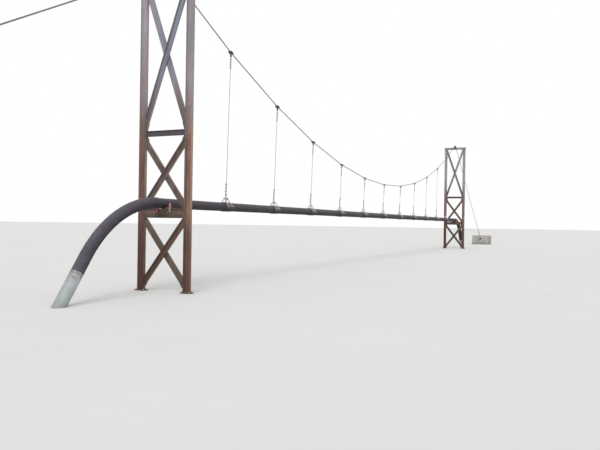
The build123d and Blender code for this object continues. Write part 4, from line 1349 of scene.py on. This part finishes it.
class StageOperator(Operator):
    """The floor, the light and the camera"""
    bl_idname = "bridge.stage"
    bl_label = "Stage"

    def execute(self, context):
        self.floor()
        self.light(context.scene)
        self.camera(context.scene)
        context.scene.view_settings.view_transform = "Standard"
        return {"FINISHED"}

    def floor(self):
        """A level disc: point(i, t) = radius(i) (cos t, sin t)."""
        finish = Finish("floor", 0.9)
        finish.surface.inputs["Specular IOR Level"].default_value = 0.1
        finish.paint(finish.mixed(finish.grain(0.6, 0.2, 0.8), *FLOOR_GREYS))
        around, level = 64, -0.4 * MM
        radii = np.array([0.01, 6.0, 60.0])
        rings = in_space(radii[:, None, None] * spokes(angles(around)), 2) + level * Z_AXIS
        points, quads, _, _ = grid(rings, capped=False)
        mesh = bpy.data.meshes.new("floor")
        faces = quads[:, ::-1].tolist() + [list(range(around))]
        mesh.from_pydata(points.tolist(), [], faces)
        mesh.materials.append(finish.material)
        thing = bpy.data.objects.new("floor", mesh)
        bpy.context.scene.collection.objects.link(thing)

    def light(self, scene):
        """A white sky, and a wide soft sun from behind the camera's left.

        The sky is white where the camera, gloss or glass sees it, and dimmer where it lights.
        """
        world = bpy.data.worlds.new("studio")
        world.use_nodes = True
        scene.world = world
        nodes, links = world.node_tree.nodes, world.node_tree.links
        rays = nodes.new("ShaderNodeLightPath").outputs
        seen = rays["Is Camera Ray"]
        for kind in ("Is Glossy Ray", "Is Transmission Ray"):
            either = nodes.new("ShaderNodeMath")
            either.operation = "MAXIMUM"
            links.new(seen, either.inputs[0])
            links.new(rays[kind], either.inputs[1])
            seen = either.outputs[0]
        level = nodes.new("ShaderNodeMapRange")
        level.inputs["To Min"].default_value = 0.62
        level.inputs["To Max"].default_value = 1.0
        links.new(seen, level.inputs["Value"])
        sky = nodes["Background"]
        links.new(level.outputs[0], sky.inputs["Strength"])
        sky.inputs["Color"].default_value = (1, 1, 1, 1)
        lamp = bpy.data.lights.new("soft_sun", "SUN")
        lamp.energy = 1.3
        lamp.angle = math.radians(30)
        sun = bpy.data.objects.new("soft_sun", lamp)
        sun.rotation_euler = [math.radians(angle) for angle in (48, -12, -62)]
        scene.collection.objects.link(sun)

    def camera(self, scene):
        """The camera beside the near anchor, looking along the pipe.

        yaw turns it from +X towards +Y, pitch lifts it, and roll tips its right side up.
        """
        place = (-4.0933, -1.2568, 0.228)
        yaw, pitch, roll = (math.radians(angle) for angle in (24.558, -0.139, 0.875))
        lens = bpy.data.cameras.new("camera")
        lens.lens = 38.18
        lens.sensor_width = 36.0
        lens.clip_start = 0.01
        lens.clip_end = 200.0
        camera = bpy.data.objects.new("camera", lens)
        camera.matrix_world = (Matrix.Translation(place)
                               @ Matrix.Rotation(yaw - math.pi / 2, 4, "Z")
                               @ Matrix.Rotation(pitch + math.pi / 2, 4, "X")
                               @ Matrix.Rotation(roll, 4, "Z"))
        scene.collection.objects.link(camera)
        scene.camera = camera


class BridgePanel(Panel):
    """The bridge's sizes, colours and pieces"""
    bl_idname = "VIEW3D_PT_pipe_bridge"
    bl_label = "Pipe bridge"
    bl_space_type = "VIEW_3D"
    bl_region_type = "UI"
    bl_category = "Pipe bridge"

    def draw(self, context):
        for kind, group in ((BridgeSizes, context.scene.bridge_sizes),
                            (BridgeColours, context.scene.bridge_colours)):
            box = self.layout.box()
            for name in kind.__annotations__:
                box.prop(group, name)
        for operator in OPERATORS:
            self.layout.operator(operator.bl_idname)


OPERATORS = (PipeOperator, CableOperator, HangerOperator, BandOperator, ClampOperator, YokeOperator,
             TowerOperator, AnchorOperator, StageOperator)
CLASSES = (BridgeSizes, BridgeColours, *OPERATORS, BridgePanel)


def register():
    for item in CLASSES:
        bpy.utils.register_class(item)
    bpy.types.Scene.bridge_sizes = PointerProperty(type=BridgeSizes)
    bpy.types.Scene.bridge_colours = PointerProperty(type=BridgeColours)


def unregister():
    del bpy.types.Scene.bridge_sizes
    del bpy.types.Scene.bridge_colours
    for item in reversed(CLASSES):
        bpy.utils.unregister_class(item)


def main():
    register()
    make_finishes(bpy.context.scene.bridge_colours)
    bpy.ops.bridge.pipe()
    bpy.ops.bridge.cable()
    bpy.ops.bridge.hangers()
    bpy.ops.bridge.cable_bands()
    bpy.ops.bridge.pipe_clamps()
    bpy.ops.bridge.yokes()
    bpy.ops.bridge.towers()
    bpy.ops.bridge.anchors()
    bpy.ops.bridge.stage()


if __name__ == "__main__":
    main()
